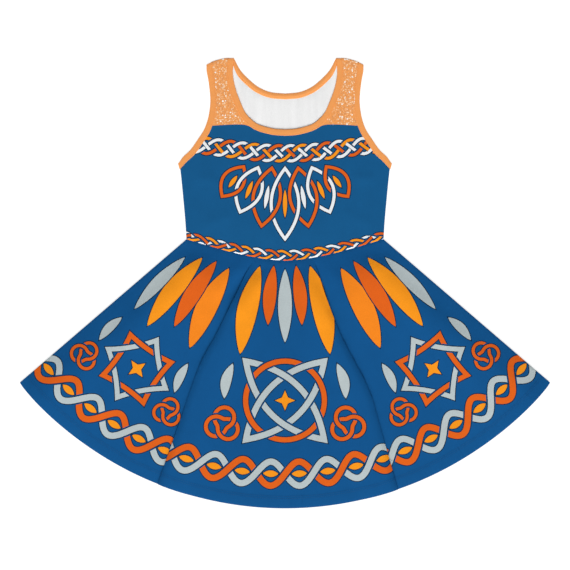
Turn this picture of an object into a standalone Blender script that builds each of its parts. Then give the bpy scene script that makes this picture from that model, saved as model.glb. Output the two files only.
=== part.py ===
"""A girl's sleeveless Irish dance dress, laid flat with its front up.

Metres. +X is to the right as it is looked at from above, +Y is towards the neck and +Z is up. The origin is
on the surface that the dress lies on, under the middle of its outline.
"""
import math

import bmesh
import bpy
from mathutils import Vector

# Cloth, and how its layers lie
WALL = 0.0010                      # thickness of one layer of cloth
GAP = 0.0003                       # air between two pieces at a seam
BACK_Z = 0.5 * WALL                # middle of the back layer, which lies on the surface
FRONT_Z = WALL + GAP + 0.5 * WALL  # middle of the front layer where it lies on the back
BINDING_RISE = 0.0005              # how much a folded binding is thicker than a single layer

# Skirt
APEX_Y = 0.1862                    # where the lines of the two side edges would meet, on the centre line
SKIRT_HALF_ANGLE = math.radians(49.3)
HEM_CENTRE_Y = 0.1726              # centre of the hem's round
HEM_RADIUS = 0.4991
HEM_CORNER_ANGLE = math.radians(1.4)  # stretch over which the hem's corner is rounded off
HEM_CORNER_DROP = 0.0040
SKIRT_LOFT = 0.0012                # how far the front skirt stands off the back one in its middle
SKIRT_ROWS = 26
SIDE_COLUMNS = 7
CENTRE_COLUMNS = 12
TURN_STEPS = 5                     # faces round one turn of a fold
RUN_STEPS = 2                      # faces along the cloth between the two turns of a fold

# Folds of the front skirt: the middle lies over the sides
FOLD_TURN_RADIUS = 0.0007          # radius of each turn, at the middle of the cloth
FOLD_SETTLE = 0.060                # width over which the middle sinks back to its own level beside a fold
FOLD_CLEAR = 0.004                 # width past the tucked cloth that stays at full height

# down: share of the way from waist to hem. left and right: the fold's angle from the centre line about the
# apex, in degrees. turn: how far the cloth turns at each edge of the fold, in degrees. tuck: the width tucked
# under.
FOLD_COLUMNS = ("down", "left", "right", "turn", "tuck")
FOLD_SECTIONS = (
    (0.00, 15.6, 14.9, 0.0, 0.0000),
    (0.06, 17.9, 15.6, 40.0, 0.0020),
    (0.14, 19.0, 15.9, 100.0, 0.0022),
    (0.24, 20.1, 16.5, 165.0, 0.0040),
    (0.34, 20.9, 17.3, 180.0, 0.0090),
    (0.46, 22.0, 18.7, 180.0, 0.0140),
    (0.58, 21.9, 19.7, 180.0, 0.0180),
    (0.72, 21.5, 19.3, 180.0, 0.0210),
    (0.86, 21.3, 18.9, 180.0, 0.0235),
    (1.00, 21.1, 18.6, 180.0, 0.0260),
)

# Half outlines, from the centre line outwards or from the bottom up: (x, y)
WAIST_SEAM = ((0.0, 0.0325), (0.020, 0.0341), (0.040, 0.0370), (0.060, 0.0408), (0.083, 0.0464),
              (0.112, 0.0546), (0.1428, 0.0638))
SIDE_EDGE = ((0.1428, 0.0638), (0.1446, 0.0910), (0.1472, 0.1200), (0.1500, 0.1490), (0.1518, 0.1655))
ARMHOLE_EDGE = ((0.1541, 0.1740), (0.1500, 0.1810), (0.1372, 0.1929), (0.1270, 0.2074), (0.1176, 0.2219),
                (0.1122, 0.2364), (0.1093, 0.2509), (0.1082, 0.2654), (0.1093, 0.2799), (0.1112, 0.2944),
                (0.1136, 0.3066), (0.1138, 0.3153))
SHOULDER_EDGE = ((0.0740, 0.3250), (0.0870, 0.3245), (0.0986, 0.3219), (0.1066, 0.3191), (0.1138, 0.3153))
FRONT_NECK_EDGE = ((0.0, 0.2226), (0.0210, 0.2248), (0.0406, 0.2324), (0.0595, 0.2523), (0.0711, 0.2799),
                   (0.0756, 0.3036), (0.0740, 0.3250))
BACK_NECK_EDGE = ((0.0, 0.2748), (0.0190, 0.2765), (0.0334, 0.2815), (0.0464, 0.2900), (0.0638, 0.3074),
                  (0.0735, 0.3249))

# Bindings, in their finished widths
FRONT_NECK_BINDING = 0.0088
BACK_NECK_BINDING = 0.0076
ARMHOLE_BINDING = 0.0082
NECK_STATIONS = 16                 # from the centre line to a shoulder
ARMHOLE_STATIONS = 20              # from the underarm to the shoulder
FOLD_OVER_STEPS = 4                # where a binding turns from the front to the back

# Bodice
BODICE_LOFT = 0.0010
BODICE_COLUMNS = 7
CENTRE_STATIONS = 13               # from the waist up the centre line to the neck
BODICE_STATIONS = CENTRE_STATIONS + NECK_STATIONS - 1      # from the waist to the shoulder
SIDE_STATIONS = BODICE_STATIONS - ARMHOLE_STATIONS + 1     # from the waist up the side to the underarm
WAIST_BOW_STATIONS = 5             # stretch over which the sections lose the waist seam's bow
SHOULDER_BOW_STATIONS = 3          # stretch over which they take on the shoulder's bow

# Faces across the plain back skirt, and down it
BACK_SKIRT_COLUMNS = 18
BACK_SKIRT_ROWS = 6

# Colours and finish: the blue jersey and the smoother orange binding
BLUE = (0.011, 0.102, 0.254)
ORANGE = (0.888, 0.342, 0.091)
JERSEY_ROUGHNESS = 0.8
BINDING_ROUGHNESS = 0.55


def remove_objects():
    """Start from an empty scene."""
    for old in list(bpy.data.objects):
        bpy.data.objects.remove(old, do_unlink=True)


def smooth_step(value):
    """0 below 0, 1 above 1, with a soft start and end."""
    value = min(max(value, 0.0), 1.0)
    return value * value * (3.0 - 2.0 * value)


def catmull_rom(before, start, end, after, share):
    """The point at a share of the way from start to end on a smooth curve."""
    return 0.5 * (2.0 * start + (end - before) * share
                  + (2.0 * before - 5.0 * start + 4.0 * end - after) * share ** 2
                  + (3.0 * start - before - 3.0 * end + after) * share ** 3)


def smooth_curve(points, count, steps=24):
    """Evenly spaced points along a smooth curve through a short row of (x, y) points."""
    knots = [Vector((*point, 0.0)) for point in points]
    first = 2.0 * knots[0] - knots[1]
    last = 2.0 * knots[-1] - knots[-2]
    knots = [first, *knots, last]
    fine = []
    for four in zip(knots, knots[1:], knots[2:], knots[3:]):
        fine += [catmull_rom(*four, step / steps) for step in range(steps)]
    fine.append(knots[-2])
    return even_points(fine, count)


def even_points(fine, count):
    """The same line with its points at even distances."""
    reach = [0.0]
    for here, there in zip(fine, fine[1:]):
        reach.append(reach[-1] + (there - here).length)
    even = []
    place = 0
    for index in range(count):
        target = reach[-1] * index / (count - 1)
        while place < len(fine) - 2 and reach[place + 1] < target:
            place += 1
        share = (target - reach[place]) / (reach[place + 1] - reach[place])
        even.append(fine[place].lerp(fine[place + 1], min(share, 1.0)))
    return even


def moved_sideways(line, distance):
    """The line moved to its left by a distance."""
    moved = []
    for index, point in enumerate(line):
        ahead = line[min(index + 1, len(line) - 1)]
        behind = line[max(index - 1, 0)]
        along = (ahead - behind).normalized()
        moved.append(point + distance * Vector((-along.y, along.x, 0.0)))
    return moved


def height_on(line, across):
    """The y of a line of (x, y) points at a distance from the centre line."""
    for here, there in zip(line, line[1:]):
        if across <= there.x:
            break
    share = (across - here.x) / (there.x - here.x)
    return here.y + share * (there.y - here.y)


def sag(line, first, last, share):
    """How far a line departs from the straight line between two of its places, at a share of the way."""
    straight = height_on(line, first) * (1.0 - share) + height_on(line, last) * share
    return height_on(line, first + share * (last - first)) - straight


def ended_at_shoulder(line, shoulder):
    """The line with its last stretch made longer or shorter, so that it ends on the shoulder."""
    along = (line[-1] - line[-2]).normalized()
    end = line[-1].copy()
    for _ in range(12):
        end += along * (height_on(shoulder, end.x) - end.y) / along.y
    return [*line[:-1], end]


def in_fold_table(down):
    """The row of the fold table at a share of the way down, by column name."""
    for upper, lower in zip(FOLD_SECTIONS, FOLD_SECTIONS[1:]):
        if down <= lower[0]:
            share = (down - upper[0]) / (lower[0] - upper[0])
            return {name: upper[column] + share * (lower[column] - upper[column])
                    for column, name in enumerate(FOLD_COLUMNS)}
    return dict(zip(FOLD_COLUMNS, FOLD_SECTIONS[-1]))


def waist_reach(angle, waist):
    """Distance from the apex to the waist seam at an angle from the centre line."""
    reach = APEX_Y
    for _ in range(30):
        across = reach * math.sin(abs(angle))
        reach = (APEX_Y - height_on(waist, across)) / math.cos(angle)
    return reach


def hem_reach(angle):
    """Distance from the apex to the hem at an angle from the centre line."""
    drop = APEX_Y - HEM_CENTRE_Y
    reach = drop * math.cos(angle) + math.sqrt(HEM_RADIUS ** 2 - (drop * math.sin(angle)) ** 2)
    corner = (abs(angle) - SKIRT_HALF_ANGLE + HEM_CORNER_ANGLE) / HEM_CORNER_ANGLE
    return reach - HEM_CORNER_DROP * max(corner, 0.0) ** 2


def skirt_point(angle, down, height, waist, below_seam=GAP):
    """A point of the skirt by its angle about the apex, its share of the way down and its height."""
    top = waist_reach(angle, waist) + below_seam
    reach = top + down * (hem_reach(angle) - top)
    return Vector((reach * math.sin(angle), APEX_Y - reach * math.cos(angle), height))


def skirt_loft(angle, down):
    """How far the front skirt stands off the back one, nothing at its edges."""
    to_side = smooth_step((SKIRT_HALF_ANGLE - abs(angle)) / math.radians(12.0))
    to_seam = smooth_step(down / 0.15)
    to_hem = smooth_step((1.0 - down) / 0.12)
    return SKIRT_LOFT * to_side * to_seam * to_hem


def fold_section(turn, tuck):
    """The fold from its inner turn to its outer one, as (across, up) from the fold's outer edge.

    The cloth comes from the side, turns up and back by the angle, runs the tucked width, and turns forwards
    again.
    """
    radius = FOLD_TURN_RADIUS
    inner = []
    for step in range(TURN_STEPS + 1):
        part = turn * step / TURN_STEPS
        inner.append((radius * math.sin(part), radius * (1.0 - math.cos(part))))
    run = (tuck * math.cos(turn), tuck * math.sin(turn))
    points = list(inner)
    for step in range(1, RUN_STEPS + 1):
        share = step / RUN_STEPS
        points.append((inner[-1][0] + share * run[0], inner[-1][1] + share * run[1]))
    across, up = points[-1]
    for step in range(1, TURN_STEPS + 1):
        rest = turn * (TURN_STEPS - step) / TURN_STEPS
        points.append((across + radius * (math.sin(turn) - math.sin(rest)),
                       up + radius * (math.cos(rest) - math.cos(turn))))
    edge = points[-1][0] - radius
    return [(point[0] - edge, point[1]) for point in points]


def front_skirt_row(down, waist):
    """One section across the front skirt, from its left edge to its right one."""
    fold = in_fold_table(down)
    section = fold_section(math.radians(fold["turn"]), fold["tuck"])
    rise = section[-1][1]
    start, end = section[0][0], section[-1][0]
    left, right = -math.radians(fold["left"]), math.radians(fold["right"])
    reach = skirt_point(left, down, 0.0, waist)
    reach = math.hypot(reach.x, APEX_Y - reach.y)

    def level(angle, up):
        return skirt_point(angle, down, FRONT_Z + up + skirt_loft(angle, down), waist)

    def settled(from_fold):
        past = (from_fold * reach - fold["tuck"] - FOLD_CLEAR) / FOLD_SETTLE
        return rise * (1.0 - smooth_step(past))

    row = []
    inner_left = left + start / reach
    for column in range(SIDE_COLUMNS):
        share = column / SIDE_COLUMNS
        row.append(level(-SKIRT_HALF_ANGLE + share * (inner_left + SKIRT_HALF_ANGLE), 0.0))
    row += [level(left + across / reach, up) for across, up in section]
    outer_left, outer_right = left + end / reach, right - end / reach
    for column in range(1, CENTRE_COLUMNS):
        share = column / CENTRE_COLUMNS
        angle = outer_left + share * (outer_right - outer_left)
        row.append(level(angle, max(settled(angle - left), settled(right - angle))))
    row += [level(right - across / reach, up) for across, up in reversed(section)]
    inner_right = right - start / reach
    for column in range(1, SIDE_COLUMNS + 1):
        share = column / SIDE_COLUMNS
        row.append(level(inner_right + share * (SKIRT_HALF_ANGLE - inner_right), 0.0))
    return row


def back_skirt_row(down, waist):
    """One flat section across the back skirt."""
    shares = [column / BACK_SKIRT_COLUMNS for column in range(BACK_SKIRT_COLUMNS + 1)]
    angles = [SKIRT_HALF_ANGLE * (2.0 * share - 1.0) for share in shares]
    return [skirt_point(angle, down, BACK_Z, waist) for angle in angles]


def bodice_loft(share_across, share_up):
    """How far the front bodice stands off the back one, nothing at its edges."""
    return BODICE_LOFT * smooth_step((1.0 - share_across) / 0.4) * smooth_step(share_up / 0.15) \
        * smooth_step((1.0 - share_up) / 0.25)


def neck_line(neck_edge, shoulder, inwards):
    """A line along half a neckline, a distance inside the cloth from its free edge."""
    line = moved_sideways(smooth_curve(neck_edge, NECK_STATIONS), -inwards)
    line[0].x = 0.0
    return ended_at_shoulder(line, shoulder)


def armhole_line(shoulder, inwards, underarm):
    """A line along an armhole from a point of the underarm, a distance in from its free edge."""
    line = moved_sideways(smooth_curve(ARMHOLE_EDGE, ARMHOLE_STATIONS), inwards)
    line[0] = underarm
    return ended_at_shoulder(line, shoulder)


def bodice_rows(neck_edge, binding, waist, shoulder, height, lofted):
    """Half of a bodice panel as sections from its inner boundary to its outer one, from waist to shoulder."""
    seam_lift = Vector((0.0, GAP, 0.0))
    neck = neck_line(neck_edge, shoulder, binding + GAP)
    inner = even_points([waist[0] + seam_lift, neck[0]], CENTRE_STATIONS) + neck[1:]
    side = smooth_curve(SIDE_EDGE, SIDE_STATIONS)
    armhole = armhole_line(shoulder, ARMHOLE_BINDING + GAP, side[-1].copy())
    side[0] += seam_lift
    outer = side + armhole[1:]
    rows = []
    for station, (start, end) in enumerate(zip(inner, outer)):
        up = station / (BODICE_STATIONS - 1)
        by_waist = 1.0 - smooth_step(station / WAIST_BOW_STATIONS)
        by_shoulder = 1.0 - smooth_step((BODICE_STATIONS - 1 - station) / SHOULDER_BOW_STATIONS)
        row = []
        for column in range(BODICE_COLUMNS + 1):
            across = column / BODICE_COLUMNS
            point = start.lerp(end, across)
            point.y += by_waist * sag(waist, 0.0, waist[-1].x, across)
            point.y += by_shoulder * sag(shoulder, neck[-1].x, armhole[-1].x, across)
            point.z = height + (bodice_loft(across, up) if lofted else 0.0)
            row.append(point)
        rows.append(row)
    return rows


def binding_ring(front_free, front_sewn, back_free, back_sewn):
    """The sections of a binding that runs along the front, turns over the end and comes back along the back.

    Each section has five points: two on its inner face, between the layers, and three on its outer face.
    """
    inner_front, inner_back = FRONT_Z - 0.5 * WALL, BACK_Z + 0.5 * WALL
    outer_front, outer_back = FRONT_Z + 0.5 * WALL, BACK_Z - 0.5 * WALL
    middle = 0.5 * (inner_front + inner_back)

    def section(free, sewn, angle, beyond):
        """One section, turned about the ends' line by an angle from the front."""
        turned = 0.5 * (1.0 - math.cos(angle))
        inner = 0.5 * (inner_front - inner_back)
        rise = BINDING_RISE * (1.0 - turned)
        outer = (outer_front - middle) * (1.0 - turned) + (middle - outer_back) * turned
        crown = free.lerp(sewn, 0.5)
        places = ((free, inner), (sewn, inner), (sewn, outer), (crown, outer + rise), (free, outer))
        lift = Vector((0.0, 0.0, middle))
        return [place + lift + radius * (math.cos(angle) * Vector((0.0, 0.0, 1.0)) + math.sin(angle) * beyond)
                for place, radius in places]

    def turn_over(front_pair, back_pair, outwards, backwards):
        """The sections of a fold from the front to the back, or from the back to the front."""
        sections = []
        for step in range(1, FOLD_OVER_STEPS):
            share = step / FOLD_OVER_STEPS
            share = 1.0 - share if backwards else share
            free = front_pair[0].lerp(back_pair[0], share)
            sewn = front_pair[1].lerp(back_pair[1], share)
            sections.append(section(free, sewn, math.pi * share, outwards))
        return sections

    def end_direction(free, sewn, before):
        """The level direction out of a binding's end, square to its end line."""
        along = (sewn - free).normalized()
        outwards = Vector((-along.y, along.x, 0.0))
        return outwards if outwards.dot(free - before) > 0.0 else -outwards

    flat = Vector((0.0, 0.0, 0.0))
    ring = [section(free, sewn, 0.0, flat) for free, sewn in zip(front_free, front_sewn)]
    last = end_direction(front_free[-1], front_sewn[-1], front_free[-2])
    ring += turn_over((front_free[-1], front_sewn[-1]), (back_free[-1], back_sewn[-1]), last, False)
    back = zip(reversed(back_free), reversed(back_sewn))
    ring += [section(free, sewn, math.pi, flat) for free, sewn in back]
    first = end_direction(front_free[0], front_sewn[0], front_free[1])
    ring += turn_over((front_free[0], front_sewn[0]), (back_free[0], back_sewn[0]), first, True)
    return ring


def on_both_sides(line):
    """A line from the centre outwards, continued over the centre to the other side."""
    other = [Vector((-point.x, point.y, point.z)) for point in reversed(line[1:])]
    return other + list(line)


def cloth_material(name, colour, roughness):
    """A plain cloth finish."""
    material = bpy.data.materials.new(name)
    material.use_nodes = True
    shader = material.node_tree.nodes["Principled BSDF"]
    shader.inputs["Base Color"].default_value = (*colour, 1.0)
    shader.inputs["Roughness"].default_value = roughness
    shader.inputs["Metallic"].default_value = 0.0
    return material


def add_object(name, mesh, collection, colour, roughness=JERSEY_ROUGHNESS):
    """Put a mesh in the collection as an object with its own material."""
    piece = bpy.data.objects.new(name, mesh)
    mesh.materials.append(cloth_material(name, colour, roughness))
    collection.objects.link(piece)
    mesh.shade_smooth()
    return piece


def mesh_through(name, rows, closed=False):
    """A surface through sections that have the same number of points."""
    shape = bmesh.new()
    grid = [[shape.verts.new(point) for point in row] for row in rows]
    for upper, lower in zip(grid, grid[1:] + grid[:1] if closed else grid[1:]):
        pairs = list(zip(upper, lower))
        for here, there in zip(pairs, pairs[1:] + pairs[:1] if closed else pairs[1:]):
            shape.faces.new((here[0], there[0], there[1], here[1]))
    bmesh.ops.recalc_face_normals(shape, faces=shape.faces)
    mesh = bpy.data.meshes.new(name)
    shape.to_mesh(mesh)
    shape.free()
    return mesh


def add_wall(piece):
    """Give an open surface the thickness of the cloth, half to each side."""
    wall = piece.modifiers.new("Wall", "SOLIDIFY")
    wall.thickness = WALL
    wall.offset = 0.0
    wall.use_even_offset = True


def make_skirt_front(collection, waist):
    rows = [front_skirt_row(row / SKIRT_ROWS, waist) for row in range(SKIRT_ROWS + 1)]
    piece = add_object("skirt_front", mesh_through("skirt_front", rows), collection, BLUE)
    add_wall(piece)


def make_skirt_back(collection, waist):
    rows = [back_skirt_row(row / BACK_SKIRT_ROWS, waist) for row in range(BACK_SKIRT_ROWS + 1)]
    piece = add_object("skirt_back", mesh_through("skirt_back", rows), collection, BLUE)
    add_wall(piece)


def make_bodice(name, collection, rows):
    piece = add_object(name, mesh_through(name, rows), collection, BLUE)
    mirror = piece.modifiers.new("Other half", "MIRROR")
    mirror.merge_threshold = 0.0001
    add_wall(piece)


def make_neck_binding(collection, shoulder):
    edges = ((FRONT_NECK_EDGE, 0.0), (FRONT_NECK_EDGE, FRONT_NECK_BINDING),
             (BACK_NECK_EDGE, 0.0), (BACK_NECK_EDGE, BACK_NECK_BINDING))
    lines = [on_both_sides(neck_line(edge, shoulder, inwards)) for edge, inwards in edges]
    mesh = mesh_through("neck_binding", binding_ring(*lines), closed=True)
    add_object("neck_binding", mesh, collection, ORANGE, BINDING_ROUGHNESS)


def make_armhole_binding(name, collection, shoulder, side):
    side_top = Vector((*SIDE_EDGE[-1], 0.0)) + Vector((0.0, GAP, 0.0))
    free = armhole_line(shoulder, 0.0, Vector((*ARMHOLE_EDGE[0], 0.0)))
    sewn = armhole_line(shoulder, ARMHOLE_BINDING, side_top)
    free = [Vector((side * point.x, point.y, 0.0)) for point in free]
    sewn = [Vector((side * point.x, point.y, 0.0)) for point in sewn]
    mesh = mesh_through(name, binding_ring(free, sewn, free, sewn), closed=True)
    add_object(name, mesh, collection, ORANGE, BINDING_ROUGHNESS)


def make_dress():
    """Every piece of the dress, each an object of its own."""
    remove_objects()
    collection = bpy.data.collections.new("irish_dance_dress")
    bpy.context.scene.collection.children.link(collection)
    waist = smooth_curve(WAIST_SEAM, 40)
    shoulder = smooth_curve(SHOULDER_EDGE, 12)
    make_skirt_back(collection, waist)
    make_skirt_front(collection, waist)
    back = bodice_rows(BACK_NECK_EDGE, BACK_NECK_BINDING, waist, shoulder, BACK_Z, False)
    front = bodice_rows(FRONT_NECK_EDGE, FRONT_NECK_BINDING, waist, shoulder, FRONT_Z, True)
    make_bodice("bodice_back", collection, back)
    make_bodice("bodice_front", collection, front)
    make_neck_binding(collection, shoulder)
    make_armhole_binding("armhole_binding_left", collection, shoulder, -1.0)
    make_armhole_binding("armhole_binding_right", collection, shoulder, 1.0)


make_dress()
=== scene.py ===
"""The finish of a girl's Irish dance dress laid flat: jersey, print, glitter yoke, bindings and stitches."""

import math

import bmesh
import bpy
import numpy as np
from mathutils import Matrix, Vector, geometry


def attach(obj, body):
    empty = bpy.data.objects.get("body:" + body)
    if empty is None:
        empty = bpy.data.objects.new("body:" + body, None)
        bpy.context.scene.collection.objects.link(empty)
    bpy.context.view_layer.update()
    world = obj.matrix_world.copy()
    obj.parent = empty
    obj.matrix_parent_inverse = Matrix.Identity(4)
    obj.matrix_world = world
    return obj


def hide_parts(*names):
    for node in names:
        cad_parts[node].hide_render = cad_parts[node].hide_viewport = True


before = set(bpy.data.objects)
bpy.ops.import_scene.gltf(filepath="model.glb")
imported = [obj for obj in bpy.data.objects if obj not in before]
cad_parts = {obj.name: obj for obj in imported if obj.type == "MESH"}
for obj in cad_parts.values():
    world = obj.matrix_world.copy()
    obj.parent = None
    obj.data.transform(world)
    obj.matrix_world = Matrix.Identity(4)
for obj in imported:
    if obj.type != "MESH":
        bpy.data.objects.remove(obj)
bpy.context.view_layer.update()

# Cloth and how its layers lie, as in the part
WALL = 0.0010                      # a solid layer of the part
GAP = 0.0003
FRONT_Z = 1.5 * WALL + GAP         # middle of the front layer
JERSEY = 0.0007                    # thickness of the jersey itself
BACK_Z = 0.5 * JERSEY              # middle of the back layer, which lies on the surface

# Skirt
APEX_Y = 0.1862
SKIRT_HALF_ANGLE = math.radians(49.3)
HEM_CENTRE_Y = 0.1726
HEM_RADIUS = 0.4991
HEM_CORNER_ANGLE = math.radians(1.4)
HEM_CORNER_DROP = 0.0010
SKIRT_LOFT = 0.0012                # how far the front skirt stands off in its middle
LOFT_EDGE = math.radians(12.0)     # how far inside the side edges it reaches its loft
LOFT_HEM = 0.12                    # share of the skirt's length over which the loft ends towards the hem
LOFT_START = 0.30                  # and over which it starts below the waist
SIDE_STRIP = 0.025                 # width over which the front skirt falls evenly to its side edges
SIDE_BEND = 0.016                  # width over which it levels out inside that
SIDE_SLOPE = 0.18
SIDE_FADE = 0.110                  # width over which the middle comes down again
SIDE_FADE_SHARE = 0.75
# Share of the skirt's length over which this starts below the waist: at the side edges, and in the middle
SIDE_START = (0.14, 0.36)
# Where it starts to ease towards the hem, over how much of the length, and by how much
SIDE_HEM = (0.80, 0.20, 0.25)
FOLD_ROLL = 0.0031                 # how far the cloth swells beside the edge of a fold
FOLD_ROLL_WIDTH = 0.0105           # how far from the edge the swell is highest
FOLD_ROLL_FADE = 0.060             # width over which it ends beyond that
FOLD_DIP = 0.0005                  # how far the cloth outside a fold dips
FOLD_DIP_WIDTH = 0.012
CREASE_START = 0.012               # distance below the waist seam over which the creases start
SEAM_DIP = 0.0006                  # how far the cloth dips into the waist seam
SEAM_DIP_WIDTH = 0.0045
SEAM_LAP = 0.0004                  # how far the skirt's cloth reaches past the waist seam
HEM_DEPTH = 0.0195                 # width of the turned hem
HEM_RISE = 0.00020                 # how much the turned hem stands up
HEM_STEP = 0.0012                  # width of the step at its inner edge

# Folds of the front skirt, as in the part
FOLD_TURN_RADIUS = 0.00040
FOLD_SETTLE = 0.030
FOLD_CLEAR = 0.004
FOLD_SECTIONS = (  # down, left angle, right angle, turn, tuck
    (0.00, 15.6, 14.9, 0.0, 0.0000),
    (0.06, 17.9, 15.6, 40.0, 0.0020),
    (0.14, 19.0, 15.9, 100.0, 0.0022),
    (0.24, 20.1, 16.5, 165.0, 0.0040),
    (0.34, 20.9, 17.3, 180.0, 0.0090),
    (0.46, 22.0, 18.7, 180.0, 0.0140),
    (0.58, 21.9, 19.7, 180.0, 0.0180),
    (0.72, 21.5, 19.3, 180.0, 0.0210),
    (0.86, 21.3, 18.9, 180.0, 0.0235),
    (1.00, 21.1, 18.6, 180.0, 0.0260),
)
FOLD_MEAN_ANGLE = {-1: math.radians(20.5), 1: math.radians(17.5)}

# Half outlines, from the centre line outwards or from the bottom up: (x, y)
WAIST_SEAM = ((0.0, 0.0325), (0.020, 0.0341), (0.040, 0.0370), (0.060, 0.0408), (0.083, 0.0464),
              (0.112, 0.0546), (0.1428, 0.0638))
SIDE_EDGE = ((0.1428, 0.0638), (0.1446, 0.0910), (0.1472, 0.1200), (0.1500, 0.1490), (0.1518, 0.1655))
ARMHOLE_EDGE = ((0.1541, 0.1740), (0.1500, 0.1810), (0.1372, 0.1929), (0.1270, 0.2074), (0.1176, 0.2219),
                (0.1122, 0.2364), (0.1093, 0.2509), (0.1082, 0.2654), (0.1093, 0.2799), (0.1112, 0.2944),
                (0.1136, 0.3066), (0.1138, 0.3153))
SHOULDER_EDGE = ((0.0740, 0.3250), (0.0870, 0.3245), (0.0986, 0.3219), (0.1066, 0.3191), (0.1138, 0.3153))
FRONT_NECK_EDGE = ((0.0, 0.2226), (0.0145, 0.2235), (0.0285, 0.2266), (0.0410, 0.2312), (0.0505, 0.2389),
                   (0.0560, 0.2452), (0.0603, 0.2524), (0.0711, 0.2799), (0.0756, 0.3036), (0.0740, 0.3250))
BACK_NECK_EDGE = ((0.0, 0.2748), (0.0190, 0.2765), (0.0334, 0.2815), (0.0464, 0.2900), (0.0638, 0.3074),
                  (0.0735, 0.3249))
YOKE_LINE = ((0.0415, 0.2215), (0.0551, 0.2285), (0.0696, 0.2298), (0.0900, 0.2290), (0.1180, 0.2272))

FRONT_NECK_BINDING = 0.0083
BACK_NECK_BINDING = 0.0076
ARMHOLE_BINDING = 0.0082
UNDERARM_GAP = 0.0010              # from the side edge to the armhole binding
SEAM_GAP = 0.0002                  # from the waist seam to the bodice's cloth
BODICE_LOFT = 0.0010               # how far the front bodice stands off in its middle
BODICE_LOFT_EDGE = 0.050           # how far inside its edges it reaches its loft
BODICE_SEAM_DIP = 0.0005
BODICE_SEAM_DIP_WIDTH = 0.0030
INSIDE_RISE = 0.0003               # how far the back cloth comes up inside the neck
INSIDE_RISE_FROM = 0.170           # height on the dress from where it does
INSIDE_RISE_OVER = 0.050
INSIDE_FLAT_EDGE = 0.009           # width along its edges where it stays flat for the binding
TUCKED_IN = 0.0018                 # how far a panel's edge reaches into its binding
BACK_NECK_NARROWING = 0.42         # share of its width that the back neck binding loses at the shoulders
NARROWING_FROM = -2.2              # it starts at 0 on a scale from here at the centre to 1 at the shoulder
SHOULDER_WRAP = 0.0013             # how far the front cloth bends over the shoulder

# Mesh sizes
GRID = 0.0050                      # distance between the cloth's own points
GRID_ROWS = 0.866                  # distance between their rows, as a share of that
SKIRT_GRID_ROWS = 0.9              # the same on the front skirt
EDGE_STEP = 0.0030                 # distance between points along its outline
CLEAR = 0.0015                     # least distance of its own points from its edges and fold lines
RIBBON_STEP = 0.0024               # distance between points along a printed ribbon
WELD = 1e-6                        # printed points closer than this are one
FINE = 400                         # points of a curve before it is divided evenly
WAIST_POINTS = 160
SHOULDER_POINTS = 60
YOKE_POINTS = 60
SEAM_POINTS = 50                   # of half a bodice's waist edge
SIDE_POINTS = 40
SHORTEST_EDGE = 8                  # least points of an edge
CORNER_CLEAR = 0.001               # least distance of a shoulder's points from its corners
UNDERARM_SKIP = 30                 # points of the armhole's curve that its straight first stretch replaces
BACK_HEM_POINTS = 200
BACK_THINNING = 7                  # the flat back skirt has one in so many points of its grid
WAIST_ROUNDS = 30                  # rounds in which a point is brought onto the waist seam
ROUNDS = 12                        # rounds in which one is brought onto another line
SHARPEST_CORNER = 0.35             # least cosine of half a line's turn at which its edges keep their distance

# Print
KEYLINE = 0.0014                   # dark line round the printed shapes
CROSSING_GAP = 0.0011              # ground that shows beside the dark line of a crossing's upper ribbon
SHARPEST_CROSSING = 0.45           # least sine of a crossing's angle for which that is made longer
LEAF_FULLNESS = 0.75               # 1 gives slim tips, less gives fuller leaves
LEAF_TIP = 2.0                     # how many times wider the dark line is at a leaf's tip
LEAF_EDGE = 4.0                    # how fast it has its full width from the tip
LEAF_GUIDE_POINTS = 50
SHORTEST_LEAF = 12                 # least points along a leaf


def srgb(red, green, blue):
    """A linear colour from 8-bit values."""
    values = np.array((red, green, blue)) / 255.0
    linear = np.where(values <= 0.04045, values / 12.92, ((values + 0.055) / 1.055) ** 2.4)
    return tuple(float(value) for value in linear)


# Cloths of one colour: colour, roughness, sheen, specular level, size of a loop, depth of the knit, and
# how much longer than wide its uneven patches are. On the inside jersey they are upright streaks of painted
# shade
PLAIN_CLOTHS = {
    # the inside jersey's patches are drawn out into upright streaks of painted shade for soft vertical folds
    "inside_jersey": (srgb(241, 241, 241), 0.9, 0.0, 0.1, 0.0009, 0.35, 9.0),
    "binding_jersey": (srgb(242, 160, 90), 0.7, 0.01, 0.1, 0.0007, 0.25, 1.0),
    "orange_thread": (srgb(240, 152, 80), 0.6, 0.0, 0.25, 0.0004, 0.2, 1.0),
    "blue_thread": (srgb(22, 80, 132), 0.6, 0.0, 0.25, 0.0004, 0.2, 1.0),
}
KNIT_LOOP = 0.0009                 # width of a loop of the jersey
KNIT_ROW = 0.8                     # height of a loop, as a share of its width
KNIT_DEPTH = 0.0002
KNIT_UNEVEN = (1.2, 1.5)           # how unevenly the columns and the rows of loops run
WAVE_UNIT = 20.0                   # a wave texture of scale 1 has so many waves in a length of 2 pi
PRINTED_KNIT = 0.35                # strength of the loops
YOKE_KNIT = 0.25
SHEEN_ROUGHNESS = 0.45
PRINTED_FINISH = (0.85, 0.01, 0.06)   # roughness, sheen, specular level
YOKE_FINISH = (0.55, 0.02, 0.2)
NOISE_SPAN = (0.3, 0.7)            # between which most of a noise texture lies
NOISE_DETAIL = 3.0
# Uneven patches: size, and how much lighter or darker
PRINTED_FINE, PRINTED_BROAD = (0.0012, 0.05), (0.020, 0.025)
PLAIN_FINE, PLAIN_BROAD = (0.0013, 0.035), (0.025, 0.02)
YOKE_COLOUR = srgb(241, 159, 88)
GLITTER_MIDDLE = 0.0920            # distance from the centre line where the glitter is thickest
GLITTER_SPREAD = 0.0340
GLITTER_FROM = 0.2270              # height on the dress where it starts
GLITTER_START = 0.0070             # height over which it grows from there
FLECK_SHIFT = (0.013, 0.007)       # how far each layer of flecks is shifted, times its seed
FLECK_RADII = (0.6, 0.5)           # least radius of a fleck as a share of its layer's, and how much it varies
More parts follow.
